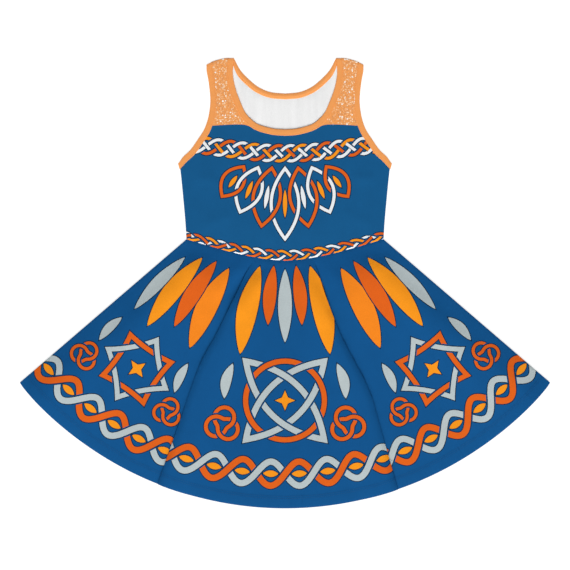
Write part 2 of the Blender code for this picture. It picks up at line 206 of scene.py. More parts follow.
# Layers of flecks: (cell size, share of the cells, radius, colour, seed)
GLITTER = (
    (0.0022, 0.74, 0.48, srgb(218, 146, 92), 3.0),
    (0.0021, 0.70, 0.46, srgb(246, 188, 136), 7.0),
    (0.0025, 0.44, 0.42, srgb(252, 220, 184), 11.0),
    (0.0036, 0.19, 0.38, srgb(255, 250, 240), 23.0),
)

INKS = {
    "bodice blue": srgb(21, 88, 138),
    "skirt blue": srgb(17, 84, 141),
    "keyline": srgb(18, 46, 72),
    "amber": srgb(249, 152, 30),
    "bright orange": srgb(246, 136, 32),
    "deep orange": srgb(225, 99, 28),
    "silver grey": srgb(185, 196, 198),
    "white": srgb(236, 239, 242),
}


def smooth_step(value):
    """0 below 0, 1 above 1, with a soft start and end."""
    value = np.clip(value, 0.0, 1.0)
    return value * value * (3.0 - 2.0 * value)


def evenly(line, count):
    """The same line with its points at even distances."""
    reach = np.concatenate([[0.0], np.cumsum(np.linalg.norm(np.diff(line, axis=0), axis=1))])
    wanted = np.linspace(0.0, reach[-1], count)
    return np.column_stack([np.interp(wanted, reach, line[:, column]) for column in range(line.shape[1])])


def smooth_line(points, count, steps=24):
    """Evenly spaced points on a smooth curve through a short table of points."""
    knots = np.array(points, float)
    knots = np.vstack([2.0 * knots[0] - knots[1], knots, 2.0 * knots[-1] - knots[-2]])
    share = np.linspace(0.0, 1.0, steps, endpoint=False)[:, None]
    fine = []
    for before, start, end, after in zip(knots, knots[1:], knots[2:], knots[3:]):
        fine.append(0.5 * (2.0 * start + (end - before) * share
                           + (2.0 * before - 5.0 * start + 4.0 * end - after) * share ** 2
                           + (3.0 * start - before - 3.0 * end + after) * share ** 3))
    return evenly(np.vstack([*fine, knots[-2:-1]]), count)


def line_length(line):
    """The length of a line of points."""
    return float(np.linalg.norm(np.diff(line, axis=0), axis=1).sum())


def sideways(line, closed=False):
    """The unit vectors to the left of a line, stretched at its corners so that an edge keeps its distance."""
    if closed:
        ahead, behind = np.roll(line, -1, axis=0) - line, line - np.roll(line, 1, axis=0)
    else:
        steps = np.diff(line, axis=0)
        ahead, behind = np.vstack([steps, steps[-1:]]), np.vstack([steps[:1], steps])
    ahead = ahead / np.linalg.norm(ahead, axis=1)[:, None]
    behind = behind / np.linalg.norm(behind, axis=1)[:, None]
    along = ahead + behind
    along = along / np.maximum(np.linalg.norm(along, axis=1)[:, None], 1e-9)
    stretch = 1.0 / np.maximum((along * ahead).sum(axis=1), SHARPEST_CORNER)
    return np.column_stack([-along[:, 1], along[:, 0]]) * stretch[:, None]


WAIST_LINE = smooth_line(WAIST_SEAM, WAIST_POINTS)
SHOULDER_LINE = smooth_line(SHOULDER_EDGE, SHOULDER_POINTS)
OVER_SHOULDER = SHOULDER_LINE + (0.0, SHOULDER_WRAP)
FOLD_TABLE = smooth_line(FOLD_SECTIONS, FINE)


def waist_y(across):
    """The height of the waist seam on the dress at a distance from the centre line."""
    return np.interp(np.abs(across), WAIST_LINE[:, 0], WAIST_LINE[:, 1])


def waist_reach(angle):
    """Distance from the apex to the waist seam."""
    reach = np.full_like(angle, APEX_Y, dtype=float)
    for _ in range(WAIST_ROUNDS):
        reach = (APEX_Y - waist_y(reach * np.sin(angle))) / np.cos(angle)
    return reach


def hem_reach(angle):
    """Distance from the apex to the hem."""
    drop = APEX_Y - HEM_CENTRE_Y
    reach = drop * np.cos(angle) + np.sqrt(HEM_RADIUS ** 2 - (drop * np.sin(angle)) ** 2)
    corner = (np.abs(angle) - SKIRT_HALF_ANGLE + HEM_CORNER_ANGLE) / HEM_CORNER_ANGLE
    return reach - HEM_CORNER_DROP * np.clip(corner, 0.0, 1.5) ** 2


def fold_at(reach, side):
    """The angle, turn and tuck of the fold on one side at a distance from the apex."""
    mean = np.array([FOLD_MEAN_ANGLE[side]])
    start, end = waist_reach(mean), hem_reach(mean)
    down = (reach - start) / (end - start)
    column = 1 if side < 0 else 2
    angle = np.radians(np.interp(down, FOLD_TABLE[:, 0], FOLD_TABLE[:, column]))
    turn = np.radians(np.clip(np.interp(down, FOLD_TABLE[:, 0], FOLD_TABLE[:, 3]), 0.0, 180.0))
    tuck = np.maximum(np.interp(down, FOLD_TABLE[:, 0], FOLD_TABLE[:, 4]), 0.0)
    return angle, turn, tuck


def lay(cloth_angle, reach):
    """Where a point of the front skirt's cloth lies: its angle as it is seen, and its height on the folds."""
    seen, up = cloth_angle.copy(), np.zeros_like(cloth_angle)
    radius = FOLD_TURN_RADIUS
    for side in (-1, 1):
        angle, turn, tuck = fold_at(reach, side)
        rise = 2.0 * radius * (1.0 - np.cos(turn)) + tuck * np.sin(turn)
        along = (side * cloth_angle - angle) * reach + radius
        outer = np.clip(along / radius, 0.0, turn)
        run = np.clip(along - radius * turn, 0.0, tuck)
        inner = turn - np.clip((along - radius * turn - tuck) / radius, 0.0, turn)
        past = np.maximum(along - 2.0 * radius * turn - tuck, 0.0)
        across = radius - radius * np.sin(outer) - run * np.cos(turn)
        across -= radius * (np.sin(turn) - np.sin(inner)) + past
        height = rise - radius * (1.0 - np.cos(outer)) - run * np.sin(turn)
        height -= radius * (np.cos(inner) - np.cos(turn))
        beyond = along > 0.0
        seen = np.where(beyond, side * (angle - across / reach), seen)
        settle = smooth_step(((angle - side * cloth_angle) * reach - tuck - FOLD_CLEAR) / FOLD_SETTLE)
        up = np.where(beyond, np.maximum(height, 0.0), np.maximum(up, rise * (1.0 - settle)))
    return seen, up


def unfold(seen, reach, side):
    """The cloth angle of what is seen past the fold on one side."""
    angle, turn, tuck = fold_at(reach, side)
    hidden = 2.0 * FOLD_TURN_RADIUS * (turn - np.sin(turn)) + tuck * (1.0 - np.cos(turn))
    return seen + side * hidden / reach


def polar(points):
    """The angle and distance from the apex of (x, y) points."""
    return np.arctan2(points[:, 0], APEX_Y - points[:, 1]), np.hypot(points[:, 0], APEX_Y - points[:, 1])


def from_polar(angle, reach):
    """The (x, y) points at an angle and a distance from the apex."""
    return np.column_stack([reach * np.sin(angle), APEX_Y - reach * np.cos(angle)])


# Listed creases: a soft ridge, or a trough where the height is below nothing, along a bent line.
# (start x, start y, middle x, middle y, end x, end y, half width, height)
SKIRT_CREASES = (
    (-0.022, 0.030, -0.060, 0.004, -0.092, -0.034, 0.0085, -0.0013),
    (-0.010, 0.024, -0.046, -0.014, -0.078, -0.062, 0.0100, 0.0016),
    (-0.050, 0.034, -0.084, 0.006, -0.112, -0.030, 0.0090, 0.0013),
    (0.034, 0.024, 0.052, -0.010, 0.074, -0.060, 0.0085, -0.0012),
    (0.018, 0.020, 0.036, -0.020, 0.058, -0.072, 0.0110, 0.0014),
    (0.060, 0.032, 0.080, -0.004, 0.098, -0.050, 0.0090, 0.0012),
    (-0.115, 0.030, -0.190, -0.044, -0.270, -0.130, 0.0150, 0.0010),
    (-0.128, 0.052, -0.215, -0.030, -0.310, -0.118, 0.0130, -0.0008),
    (0.112, 0.036, 0.186, -0.040, 0.262, -0.124, 0.0150, 0.0010),
    (0.126, 0.050, 0.214, -0.026, 0.316, -0.118, 0.0120, -0.0008),
    (0.002, -0.060, 0.006, -0.160, -0.002, -0.290, 0.0240, 0.0007),
    (-0.060, -0.150, -0.074, -0.220, -0.086, -0.300, 0.0160, 0.0007),
    (0.066, -0.130, 0.080, -0.210, 0.094, -0.296, 0.0170, 0.0008),
    (-0.232, -0.120, -0.254, -0.166, -0.272, -0.206, 0.0140, 0.0008),
    (0.226, -0.110, 0.252, -0.160, 0.280, -0.204, 0.0150, -0.0006),
)
BODICE_CREASES = (
    (-0.128, 0.074, -0.100, 0.090, -0.070, 0.100, 0.0080, 0.0006),
    (0.130, 0.076, 0.104, 0.094, 0.078, 0.108, 0.0090, 0.0006),
    (-0.136, 0.150, -0.112, 0.150, -0.088, 0.142, 0.0080, 0.0006),
    (0.136, 0.146, 0.116, 0.152, 0.092, 0.150, 0.0070, 0.0006),
    (-0.020, 0.052, -0.030, 0.080, -0.034, 0.108, 0.0090, 0.0005),
    (0.046, 0.054, 0.050, 0.080, 0.048, 0.104, 0.0080, 0.0005),
    (-0.096, 0.232, -0.092, 0.262, -0.090, 0.296, 0.0070, 0.0005),
    (0.092, 0.236, 0.094, 0.266, 0.096, 0.294, 0.0070, 0.0005),
)
INSIDE_CREASES = (
    (-0.059, 0.296, -0.059, 0.262, -0.056, 0.236, 0.0050, 0.0005),
    (-0.040, 0.284, -0.039, 0.250, -0.037, 0.222, 0.0060, 0.0005),
    (0.041, 0.284, 0.040, 0.250, 0.038, 0.222, 0.0060, 0.0005),
    (0.058, 0.296, 0.058, 0.262, 0.055, 0.236, 0.0050, 0.0005),
)
CREASE_POINTS = 24
CREASE_TAPER = 7.0                 # points over which a crease starts and ends


def crease_height(points, creases):
    """The height that a table of creases adds at (x, y) points."""
    height = np.zeros(len(points))
    for x0, y0, x1, y1, x2, y2, half_width, rise in creases:
        line = smooth_line(((x0, y0), (x1, y1), (x2, y2)), CREASE_POINTS)
        apart = np.linalg.norm(points[:, None, :] - line[None, :, :], axis=2)
        nearest = apart.argmin(axis=1)
        fade = smooth_step(np.minimum(nearest, CREASE_POINTS - 1 - nearest) / CREASE_TAPER)
        height += rise * fade * np.exp(-(apart.min(axis=1) / half_width) ** 2)
    return height


def side_fall(angle, reach, down):
    """The height from which the front skirt slopes down to its side edges."""
    from_side = (SKIRT_HALF_ANGLE - np.abs(angle)) * reach
    bend = np.clip(from_side - SIDE_STRIP, 0.0, SIDE_BEND)
    fall = SIDE_SLOPE * (np.minimum(from_side, SIDE_STRIP) + bend - 0.5 * bend ** 2 / SIDE_BEND)
    inwards = smooth_step((from_side - SIDE_STRIP - SIDE_BEND) / SIDE_FADE)
    start = SIDE_START[0] * (1.0 - inwards) + SIDE_START[1] * inwards
    fall *= (1.0 - SIDE_FADE_SHARE * inwards) * smooth_step(down / start)
    ease_from, ease_over, ease = SIDE_HEM
    return fall * (1.0 - ease * smooth_step((down - ease_from) / ease_over))


def skirt_relief(angle, reach):
    """The front skirt's own rise above the lie of its folds."""
    top, hem = waist_reach(angle), hem_reach(angle)
    down = (reach - top) / (hem - top)
    inside_edges = smooth_step((SKIRT_HALF_ANGLE - np.abs(angle)) / LOFT_EDGE)
    inside_edges *= smooth_step((1.0 - down) / LOFT_HEM)
    height = SKIRT_LOFT * inside_edges * smooth_step(down / LOFT_START)
    height += side_fall(angle, reach, down)
    for side in (-1, 1):
        fold, turn, _ = fold_at(reach, side)
        past = (fold - side * angle) * reach
        roll = 1.0 - (1.0 - np.clip(past / FOLD_ROLL_WIDTH, 0.0, 1.0)) ** 2
        roll *= 1.0 - smooth_step((past - FOLD_ROLL_WIDTH) / FOLD_ROLL_FADE)
        dip = np.exp(-(np.minimum(past, 0.0) / FOLD_DIP_WIDTH) ** 2) * (past < 0.0)
        height += (FOLD_ROLL * roll - FOLD_DIP * dip) * turn / math.pi
    creases = crease_height(from_polar(angle, reach), SKIRT_CREASES)
    height += creases * smooth_step((reach - top) / CREASE_START)
    height -= SEAM_DIP * (1.0 - smooth_step((reach - top) / SEAM_DIP_WIDTH))
    return height + HEM_RISE * smooth_step((reach - hem + HEM_DEPTH) / HEM_STEP + 0.5)


def skirt_front_surface(chart):
    """The front skirt's cloth, from its flat cut to its place."""
    cloth_angle, reach = polar(chart)
    seen, up = lay(cloth_angle, reach)
    height = FRONT_Z + up + skirt_relief(seen, reach)
    return np.column_stack([from_polar(seen, reach), height])


def skirt_back_surface(chart):
    """The back skirt lies flat."""
    return np.column_stack([chart, np.full(len(chart), BACK_Z)])


def ended_at_shoulder(line, shoulder):
    """The line with its last stretch made longer or shorter, so that it ends on the shoulder."""
    along = (line[-1] - line[-2]) / np.linalg.norm(line[-1] - line[-2])
    end = line[-1].copy()
    for _ in range(ROUNDS):
        end += along * (np.interp(end[0], shoulder[:, 0], shoulder[:, 1]) - end[1]) / along[1]
    return np.vstack([line[:-1], end])


def in_edge_steps(line):
    """The same line with a point at every edge step."""
    return evenly(line, max(int(line_length(line) / EDGE_STEP), SHORTEST_EDGE))


def neck_line(edge, inwards, shoulder=SHOULDER_LINE):
    """A line along half a neckline, a distance inside the cloth from its free edge."""
    line = smooth_line(edge, FINE)
    narrowing = BACK_NECK_NARROWING if edge is BACK_NECK_EDGE else 0.0
    inwards = inwards * (1.0 - narrowing * smooth_step(np.linspace(NARROWING_FROM, 1.0, FINE)))
    line = line - inwards[:, None] * sideways(line)
    line[0, 0] = 0.0
    return in_edge_steps(ended_at_shoulder(line, shoulder))


def armhole_line(inwards, underarm, shoulder=SHOULDER_LINE):
    """A line along an armhole, a distance inside the cloth from its free edge, from an underarm point."""
    line = smooth_line(ARMHOLE_EDGE, FINE)
    line = line + inwards * sideways(line)
    return in_edge_steps(ended_at_shoulder(np.vstack([underarm, line[UNDERARM_SKIP:]]), shoulder))


def bodice_outline(neck_edge, binding, shoulder):
    """The closed outline of a bodice panel, whose edges reach into the bindings."""
    seam = WAIST_LINE - (0.0, SEAM_GAP)
    side = smooth_line(SIDE_EDGE, SIDE_POINTS)
    armhole = armhole_line(ARMHOLE_BINDING - TUCKED_IN, side[-1] + (0.0, UNDERARM_GAP), shoulder)
    neck = neck_line(neck_edge, binding - TUCKED_IN, shoulder)
    inner, outer = neck[-1, 0] + CORNER_CLEAR, armhole[-1, 0] - CORNER_CLEAR
    between = shoulder[(shoulder[:, 0] < outer) & (shoulder[:, 0] > inner)]
    half = np.vstack([evenly(seam, SEAM_POINTS)[1:], side[1:], armhole, between[::-1], neck[::-1][:-1]])
    other = half[::-1] * (-1.0, 1.0)
    centre_low, centre_high = seam[:1] * (0.0, 1.0), neck[:1]
    return np.vstack([centre_low, half, centre_high, other])


def edge_distance(points, outline, parts=8):
    """The distance of points from the nearest point of an outline, which is gone through in parts."""
    apart = np.full(len(points), np.inf)
    for part in np.array_split(outline, parts):
        found = np.linalg.norm(points[:, None, :] - part[None, :, :], axis=2)
        apart = np.minimum(apart, found.min(axis=1))
    return apart


def bodice_front_surface(outline):
    """The front bodice stands a little off the back one, and dips into the waist seam."""
    def surface(points):
        apart = edge_distance(points, outline)
        height = FRONT_Z + BODICE_LOFT * smooth_step(apart / BODICE_LOFT_EDGE)
        height += crease_height(points, BODICE_CREASES)
        above_seam = points[:, 1] - waist_y(points[:, 0])
        height -= BODICE_SEAM_DIP * (1.0 - smooth_step(above_seam / BODICE_SEAM_DIP_WIDTH))
        across = np.clip(np.abs(points[:, 0]), SHOULDER_LINE[0, 0], SHOULDER_LINE[-1, 0])
        to_edge = np.interp(across, OVER_SHOULDER[:, 0], OVER_SHOULDER[:, 1]) - points[:, 1]
        bent = np.clip(1.0 - to_edge / SHOULDER_WRAP, 0.0, 1.0)
        height -= SHOULDER_WRAP * (1.0 - np.sqrt(1.0 - bent ** 2))
        return np.column_stack([points, height])
    return surface


def bodice_back_surface(outline):
    """The back bodice lies flat, and rises a little to meet the front where its inside shows."""
    def surface(points):
        rise = INSIDE_RISE * smooth_step((points[:, 1] - INSIDE_RISE_FROM) / INSIDE_RISE_OVER)
        rise += crease_height(points, INSIDE_CREASES)
        rise *= smooth_step(edge_distance(points, outline) / INSIDE_FLAT_EDGE)
        return np.column_stack([points, BACK_Z + rise])
    return surface


class Print:
    """Flat printed shapes in painting order, each with its ink, on the flat cut of a panel."""

    def __init__(self, ground):
        self.ground = ground
        self.points, self.faces, self.inks = [], [], []
        self.count = 0

    def add_faces(self, points, faces, ink):
        """Faces by the numbers of their own points, in one ink."""
        self.points.append(np.asarray(points))
        self.faces += [[self.count + corner for corner in face] for face in faces]
        self.inks += [ink] * len(faces)
        self.count += len(points)

    def area(self, outline, ink):
        """One shape inside an outline."""
        self.add_faces(outline, [range(len(outline))], ink)

    def strip(self, left, right, ink, closed=False):
        """The area between two lines that run side by side."""
        count = len(left)
        after = [(i + 1) % count for i in range(count)]
        faces = [(i, after[i], count + after[i], count + i) for i in range(count if closed else count - 1)]
        self.add_faces(np.vstack([right, left]), faces, ink)

    def mirrored(self):
        """Add the same shapes on the other side of the centre line, in the same order."""
        points = np.vstack(self.points) * (-1.0, 1.0)
        self.add_faces(points, [list(face)[::-1] for face in self.faces], None)
        half = len(self.inks) // 2
        self.inks[half:] = self.inks[:half]


def on_cloth(points, panel):
    """Points that are given as they are seen, on the flat cut: past a fold its hidden cloth comes between."""
    if panel == 0:
        return points
    angle, reach = polar(points)
    return from_polar(unfold(angle, reach, panel), reach)


def leaf(art, guide, width, ink, panel=0):
    """A plain pointed leaf along a guide line, with a dark line round it."""
    count = int(line_length(smooth_line(guide, LEAF_GUIDE_POINTS)) / RIBBON_STEP)
    line = smooth_line(guide, max(count, SHORTEST_LEAF))
    share = np.linspace(0.0, 1.0, len(line))[:, None]
    spread = np.sin(math.pi * share) ** LEAF_FULLNESS
    for grow, paint in ((KEYLINE, "keyline"), (0.0, ink)):
        tips = line.copy()
        ends = (line[-1] - line[-2], line[0] - line[1])
        tips[-1] += LEAF_TIP * grow * ends[0] / np.linalg.norm(ends[0])
        tips[0] += LEAF_TIP * grow * ends[1] / np.linalg.norm(ends[1])
        half = (0.5 * width * spread + grow * np.minimum(LEAF_EDGE * spread, 1.0)) * sideways(tips)
        outline = np.vstack([(tips - half)[:-1], (tips + half)[::-1][:-1]])
        art.area(on_cloth(outline, panel), paint)


def ribbon(line, width, ink, closed=True):
    """A strand of an interlace."""
    return {"line": line, "width": width, "ink": ink, "closed": closed, "side": sideways(line, closed),
            "step": line_length(line) / (len(line) - 1)}


PARALLEL = 1e-14                   # stretches that turn from each other less than this don't cross


def crossings(strands):
    """Where strands cross: (strand, place, strand, place), a place being a number of points plus a share."""
    found, ends = [], []
    for strand in strands:
        line = strand["line"]
        ends.append((line, np.roll(line, -1, axis=0)) if strand["closed"] else (line[:-1], line[1:]))
    for first in range(len(strands)):
        for second in range(first, len(strands)):
            (a, b), (c, d) = ends[first], ends[second]
            r, s = (b - a)[:, None, :], (d - c)[None, :, :]
            between = c[None, :, :] - a[:, None, :]
            bend = r[..., 0] * s[..., 1] - r[..., 1] * s[..., 0]
            bend = np.where(np.abs(bend) < PARALLEL, np.nan, bend)
            t = (between[..., 0] * s[..., 1] - between[..., 1] * s[..., 0]) / bend
            u = (between[..., 0] * r[..., 1] - between[..., 1] * r[..., 0]) / bend
            hit = (t >= 0.0) & (t < 1.0) & (u >= 0.0) & (u < 1.0)
            for i, j in np.argwhere(hit):
                count = len(strands[first]["line"])
                if first == second and (j <= i + 1 or (strands[first]["closed"] and i + count - j <= 1)):
                    continue
                found.append((first, i + t[i, j], second, j + u[i, j]))
    return found


def upper_strands(strands, found):
    """For each crossing, which of its two strands is the upper one: each goes over and under in turn."""
    events = {index: [] for index in range(len(strands))}
    for number, (first, place, second, other) in enumerate(found):
        events[first].append((place, number, 0))
        events[second].append((other, number, 1))
    upper = {}
    for start in range(len(strands)):
        waiting = [start]
        done = set()
        while waiting:
            index = waiting.pop()
            if index in done or not events[index]:
                continue
            done.add(index)
            order = sorted(events[index])
            known = next((k for k, (_, number, _) in enumerate(order) if number in upper), None)
            if known is None:
                known = 0
                upper[order[0][1]] = order[0][2]
            base = upper[order[known][1]] == order[known][2]
            for k, (_, number, which) in enumerate(order):
                over = base if (k - known) % 2 == 0 else not base
                if number not in upper:
                    upper[number] = which if over else 1 - which
                    first, _, second, _ = found[number]
                    waiting += [first, second]
    return upper


def paint_stretch(art, strand, wider, ink, panel, start=None, end=None):
    """Paint a strand, or the stretch of it between two points."""
    line, side = strand["line"], strand["side"]
    half = 0.5 * strand["width"] + wider
    left, right = on_cloth(line + half * side, panel), on_cloth(line - half * side, panel)
    if start is None:
        art.strip(left, right, ink, strand["closed"])
        return
    chosen = np.arange(start, end + 1)
    chosen = chosen % len(line) if strand["closed"] else chosen[(chosen >= 0) & (chosen < len(line))]
    if len(chosen) > 1:
        art.strip(left[chosen], right[chosen], ink)


def interlace(art, strands, panel=0):
    """Paint strands that pass over and under each other in turn."""
    for strand in strands:
        paint_stretch(art, strand, KEYLINE, "keyline", panel)
    for strand in strands:
        paint_stretch(art, strand, 0.0, strand["ink"], panel)
    found = crossings(strands)
    for number, which in upper_strands(strands, found).items():
        crossing = found[number]
        over, under = strands[crossing[2 * which]], strands[crossing[2 - 2 * which]]
        place = crossing[2 * which + 1]
        along = tangent(over, place)
        across = tangent(under, crossing[3 - 2 * which])
        sine = max(abs(along[0] * across[1] - along[1] * across[0]), SHARPEST_CROSSING)
        cosine = abs(float(along @ across))
        reach = (0.5 * under["width"] + KEYLINE + cosine * (0.5 * over["width"] + KEYLINE)) / sine
        steps = max(int(math.ceil(reach / over["step"])), 2)
        start, end = int(math.floor(place)) - steps + 1, int(math.floor(place)) + steps
        paint_stretch(art, over, KEYLINE + CROSSING_GAP, art.ground, panel, start, end)
        paint_stretch(art, over, KEYLINE, "keyline", panel, start - 1, end + 1)
        paint_stretch(art, over, 0.0, over["ink"], panel, start - 1, end + 1)


ROUND_POINTS = 900                 # of a round shape before it is divided evenly
SHORTEST_ARC = 6                   # least points of an arc


def tangent(strand, place):
    """The direction of a strand at a place."""
    line = strand["line"]
    index = int(place) % len(line)
    step = line[(index + 1) % len(line)] - line[index]
    return step / np.linalg.norm(step)


def closed_line(shape, step=RIBBON_STEP):
    """Evenly spaced points round a closed shape that is given by a function of the turn."""
    fine = shape(np.linspace(0.0, 2.0 * math.pi, ROUND_POINTS))
    return evenly(fine, int(line_length(fine) / step) + 1)[:-1]


def turned(points, angle):
    """Points turned by an angle about the zero point."""
    cosine, sine = math.cos(angle), math.sin(angle)
    return points @ np.array(((cosine, sine), (-sine, cosine)))


def pointed_ring(centre, radius, corners, bow, angle):
    """A closed line through even corners. Its sides are arcs that bow outwards or, below nothing, inwards."""
    turn = np.linspace(0.0, 2.0 * math.pi, corners + 1)
    ends = radius * np.column_stack([np.cos(turn), np.sin(turn)])
    sides = []
    for start, end in zip(ends, ends[1:]):
        half = 0.5 * np.linalg.norm(end - start)
        along = (end - start) / (2.0 * half)
        out = np.array((along[1], -along[0]))
        steps = max(int(2.0 * half / RIBBON_STEP), SHORTEST_ARC)
        share = np.linspace(-1.0, 1.0, steps + 1)[:-1, None]
        sides.append(0.5 * (start + end) + half * share * along + bow * (1.0 - share ** 2) * out)
    return turned(np.vstack(sides), angle) + centre


def ring(centre, radius):
    """A round ring."""
    return closed_line(lambda turn: radius * np.column_stack([np.cos(turn), np.sin(turn)])) + centre


def plaited_ring(centre, radius, swing, loops, rounds, angle):
    """A closed line that goes round several times and swings in and out, as in a round plait."""
    def shape(turn):
        reach = radius + swing * np.cos(loops * turn)
        return reach[:, None] * np.column_stack([np.cos(rounds * turn), np.sin(rounds * turn)])
    return turned(closed_line(shape, 0.5 * RIBBON_STEP), angle) + centre


def star(art, centre, ink, angle, panel=0):
    """A small star of four points with hollow sides."""
    corners = 8
    turn = np.linspace(0.0, 2.0 * math.pi, corners + 1)[:-1]
    for grow, paint in ((KEYLINE, "keyline"), (0.0, ink)):
        tip, hollow = STAR_RADIUS + STAR_TIP * grow, STAR_WAIST * STAR_RADIUS + STAR_HOLLOW * grow
        reach = np.where(np.arange(corners) % 2 == 0, tip, hollow)
        line = reach[:, None] * np.column_stack([np.cos(turn), np.sin(turn)])
        art.area(on_cloth(turned(line, angle) + centre, panel), paint)


def twisted(guide, strands, swing, wave, start=0.0):
    """Strands that swing to and fro about a guide line, evenly out of step, by a swing along the line."""
    count = int(line_length(guide) / RIBBON_STEP)
    line = evenly(guide, count)
    place = np.linspace(0.0, line_length(guide), count)
    share = np.linspace(-1.0, 1.0, count)
    side = sideways(line)
    lines = []
    for index in range(strands):
        phase = 2.0 * math.pi * (place / wave + index / strands) + start
        lines.append(line + (swing(share) * np.sin(phase))[:, None] * side)
    return lines


# The skirt's print, right of the centre line: angles in degrees and distances from the apex, or (x, y).
# Leaves that hang from the waist: (angle, near end, far end, bend in degrees, width, ink)
HANGING_LEAVES = (
    (5.7, 0.162, 0.248, 0.5, 0.0190, "deep orange"),
    (12.7, 0.166, 0.296, 0.9, 0.0290, "amber"),
    (26.2, 0.184, 0.312, 0.9, 0.0300, "bright orange"),
    (32.7, 0.184, 0.296, 0.7, 0.0230, "deep orange"),
    (38.7, 0.192, 0.318, 0.7, 0.0260, "amber"),
    (44.2, 0.208, 0.312, 0.4, 0.0180, "silver grey"),
    (45.0, 0.334, 0.380, 0.4, 0.0130, "silver grey"),
    (24.9, 0.334, 0.380, 0.4, 0.0130, "silver grey"),
    (14.0, 0.312, 0.364, 0.6, 0.0150, "silver grey"),
)
CENTRE_LEAF = ((0.0, 0.020), (0.0, -0.040), (0.0, -0.086))
CENTRE_LEAF_WIDTH = 0.0200
FIRST_SIDE_ANGLE = 20.0            # shapes past this angle are printed beyond the fold

# Small knots of three lobes: (angle, distance, radius, swing, ribbon width)
SMALL_KNOTS = (
    (44.9, 0.410, 0.0132, 0.0068, 0.0044),
    (24.5, 0.410, 0.0132, 0.0068, 0.0044),
    (13.0, 0.401, 0.0164, 0.0084, 0.0054),
)
SIDE_KNOT = (34.6, 0.3770)         # two squares through each other: angle and distance of the middle
SIDE_KNOT_RADIUS = 0.0500
SIDE_KNOT_BOW = -0.0030
SIDE_KNOT_RIBBON = 0.0068
CENTRE_KNOT = (0.0, -0.1700)       # two pointed ovals and a ring: middle
CENTRE_OVAL = (0.0800, 0.0280, 0.0086)   # half length, half width, ribbon width
CENTRE_RING = (0.0570, 0.0074)     # radius, ribbon width
STAR_RADIUS = 0.0145
STAR_WAIST = 0.42                  # radius of a star between its points, as a share
STAR_TIP = 1.8                     # how many times wider the dark line is at a star's points
STAR_HOLLOW = 1.1                  # and between them
KNOT_LOOPS, KNOT_ROUNDS = 3, 2     # lobes of a small knot, and times its ribbon goes round

HEM_BORDER = (0.0500, 0.0840, 0.0175, 0.0090)   # distance from the hem, wave length, swing, ribbon width
HEM_BORDER_END = math.radians(-1.0)             # its ends lie outside the side edges, which cut it off
HEM_BORDER_POINTS = 700
HEM_LEAF = (0.0220, 0.0095)        # length and width of the leaves in its eyes
TURNED_HEM_PAST = 0.0010           # how far past the hem its printed inside is marked


def paint_skirt():
    """The front skirt's print: leaves that hang from the waist, knots below them, and a hem border."""
    art = Print("skirt blue")
    for degrees, near, far, bend, width, ink in HANGING_LEAVES:
        reach = np.array([near, 0.5 * (near + far), far])
        guide = from_polar(np.radians([degrees, degrees + bend, degrees]), reach)
        leaf(art, guide, width, ink, int(degrees > FIRST_SIDE_ANGLE))
    for degrees, reach, radius, swing, width in SMALL_KNOTS:
        middle = from_polar(np.radians([degrees]), np.array([reach]))[0]
        knot = plaited_ring(middle, radius, swing, KNOT_LOOPS, KNOT_ROUNDS, math.radians(degrees + 90.0))
        interlace(art, [ribbon(knot, width, "deep orange")], int(degrees > FIRST_SIDE_ANGLE))
    lean = math.radians(SIDE_KNOT[0])
    middle = from_polar(np.array([lean]), np.array([SIDE_KNOT[1]]))[0]
    squares = []
    for turn, ink in ((0.0, "silver grey"), (0.25 * math.pi, "deep orange")):
        square = pointed_ring(middle, SIDE_KNOT_RADIUS, 4, SIDE_KNOT_BOW, lean + turn)
        squares.append(ribbon(square, SIDE_KNOT_RIBBON, ink))
    interlace(art, squares, panel=1)
    star(art, middle, "amber", lean + 0.125 * math.pi, panel=1)
    art.mirrored()
    leaf(art, CENTRE_LEAF, CENTRE_LEAF_WIDTH, "silver grey")
    middle = np.array(CENTRE_KNOT)
    half_length, half_width, width = CENTRE_OVAL
    strands = [ribbon(pointed_ring(middle, half_length, 2, half_width, turn), width, "silver grey")
               for turn in (0.25 * math.pi, -0.25 * math.pi)]
    radius, width = CENTRE_RING
    interlace(art, [*strands, ribbon(ring(middle, radius), width, "deep orange")])
    star(art, middle, "amber", 0.0)
    hem_border(art)
    turned_hem(art, *skirt_front_hem())
    return art


def turned_hem(art, angle, reach):
    """Mark the cloth of the turned hem, which shows its printed side inside too."""
    edges = [from_polar(angle, reach - inwards) for inwards in (HEM_DEPTH, -TURNED_HEM_PAST)]
    art.strip(edges[0], edges[1], "turned hem")


def hem_border(art):
    """Two strands that twist round each other along the hem, with a small leaf in each eye."""
    inwards, wave, swing, width = HEM_BORDER
    reach = hem_reach(np.array([0.0]))[0] - inwards
    end = float(unfold(np.array([SKIRT_HALF_ANGLE]), np.array([reach]), 1)[0]) - HEM_BORDER_END
    waves = round(2.0 * end * reach / wave)
    angle = np.linspace(-end, end, HEM_BORDER_POINTS)
    guide = from_polar(angle, np.full(len(angle), reach))
    lines = twisted(guide, 2, lambda share: swing, line_length(guide) / waves)
    inks = ("silver grey", "deep orange")
    interlace(art, [ribbon(line, width, ink, False) for line, ink in zip(lines, inks)])
    length, width = HEM_LEAF
    for eye in range(2 * waves):
        middle = end * ((2.0 * eye + 1.0) / (2 * waves) - 1.0)
        spread = 0.5 * length / reach
        leaf(art, from_polar(middle + spread * np.array([-1.0, 0.0, 1.0]), np.full(3, reach)), width, "amber")


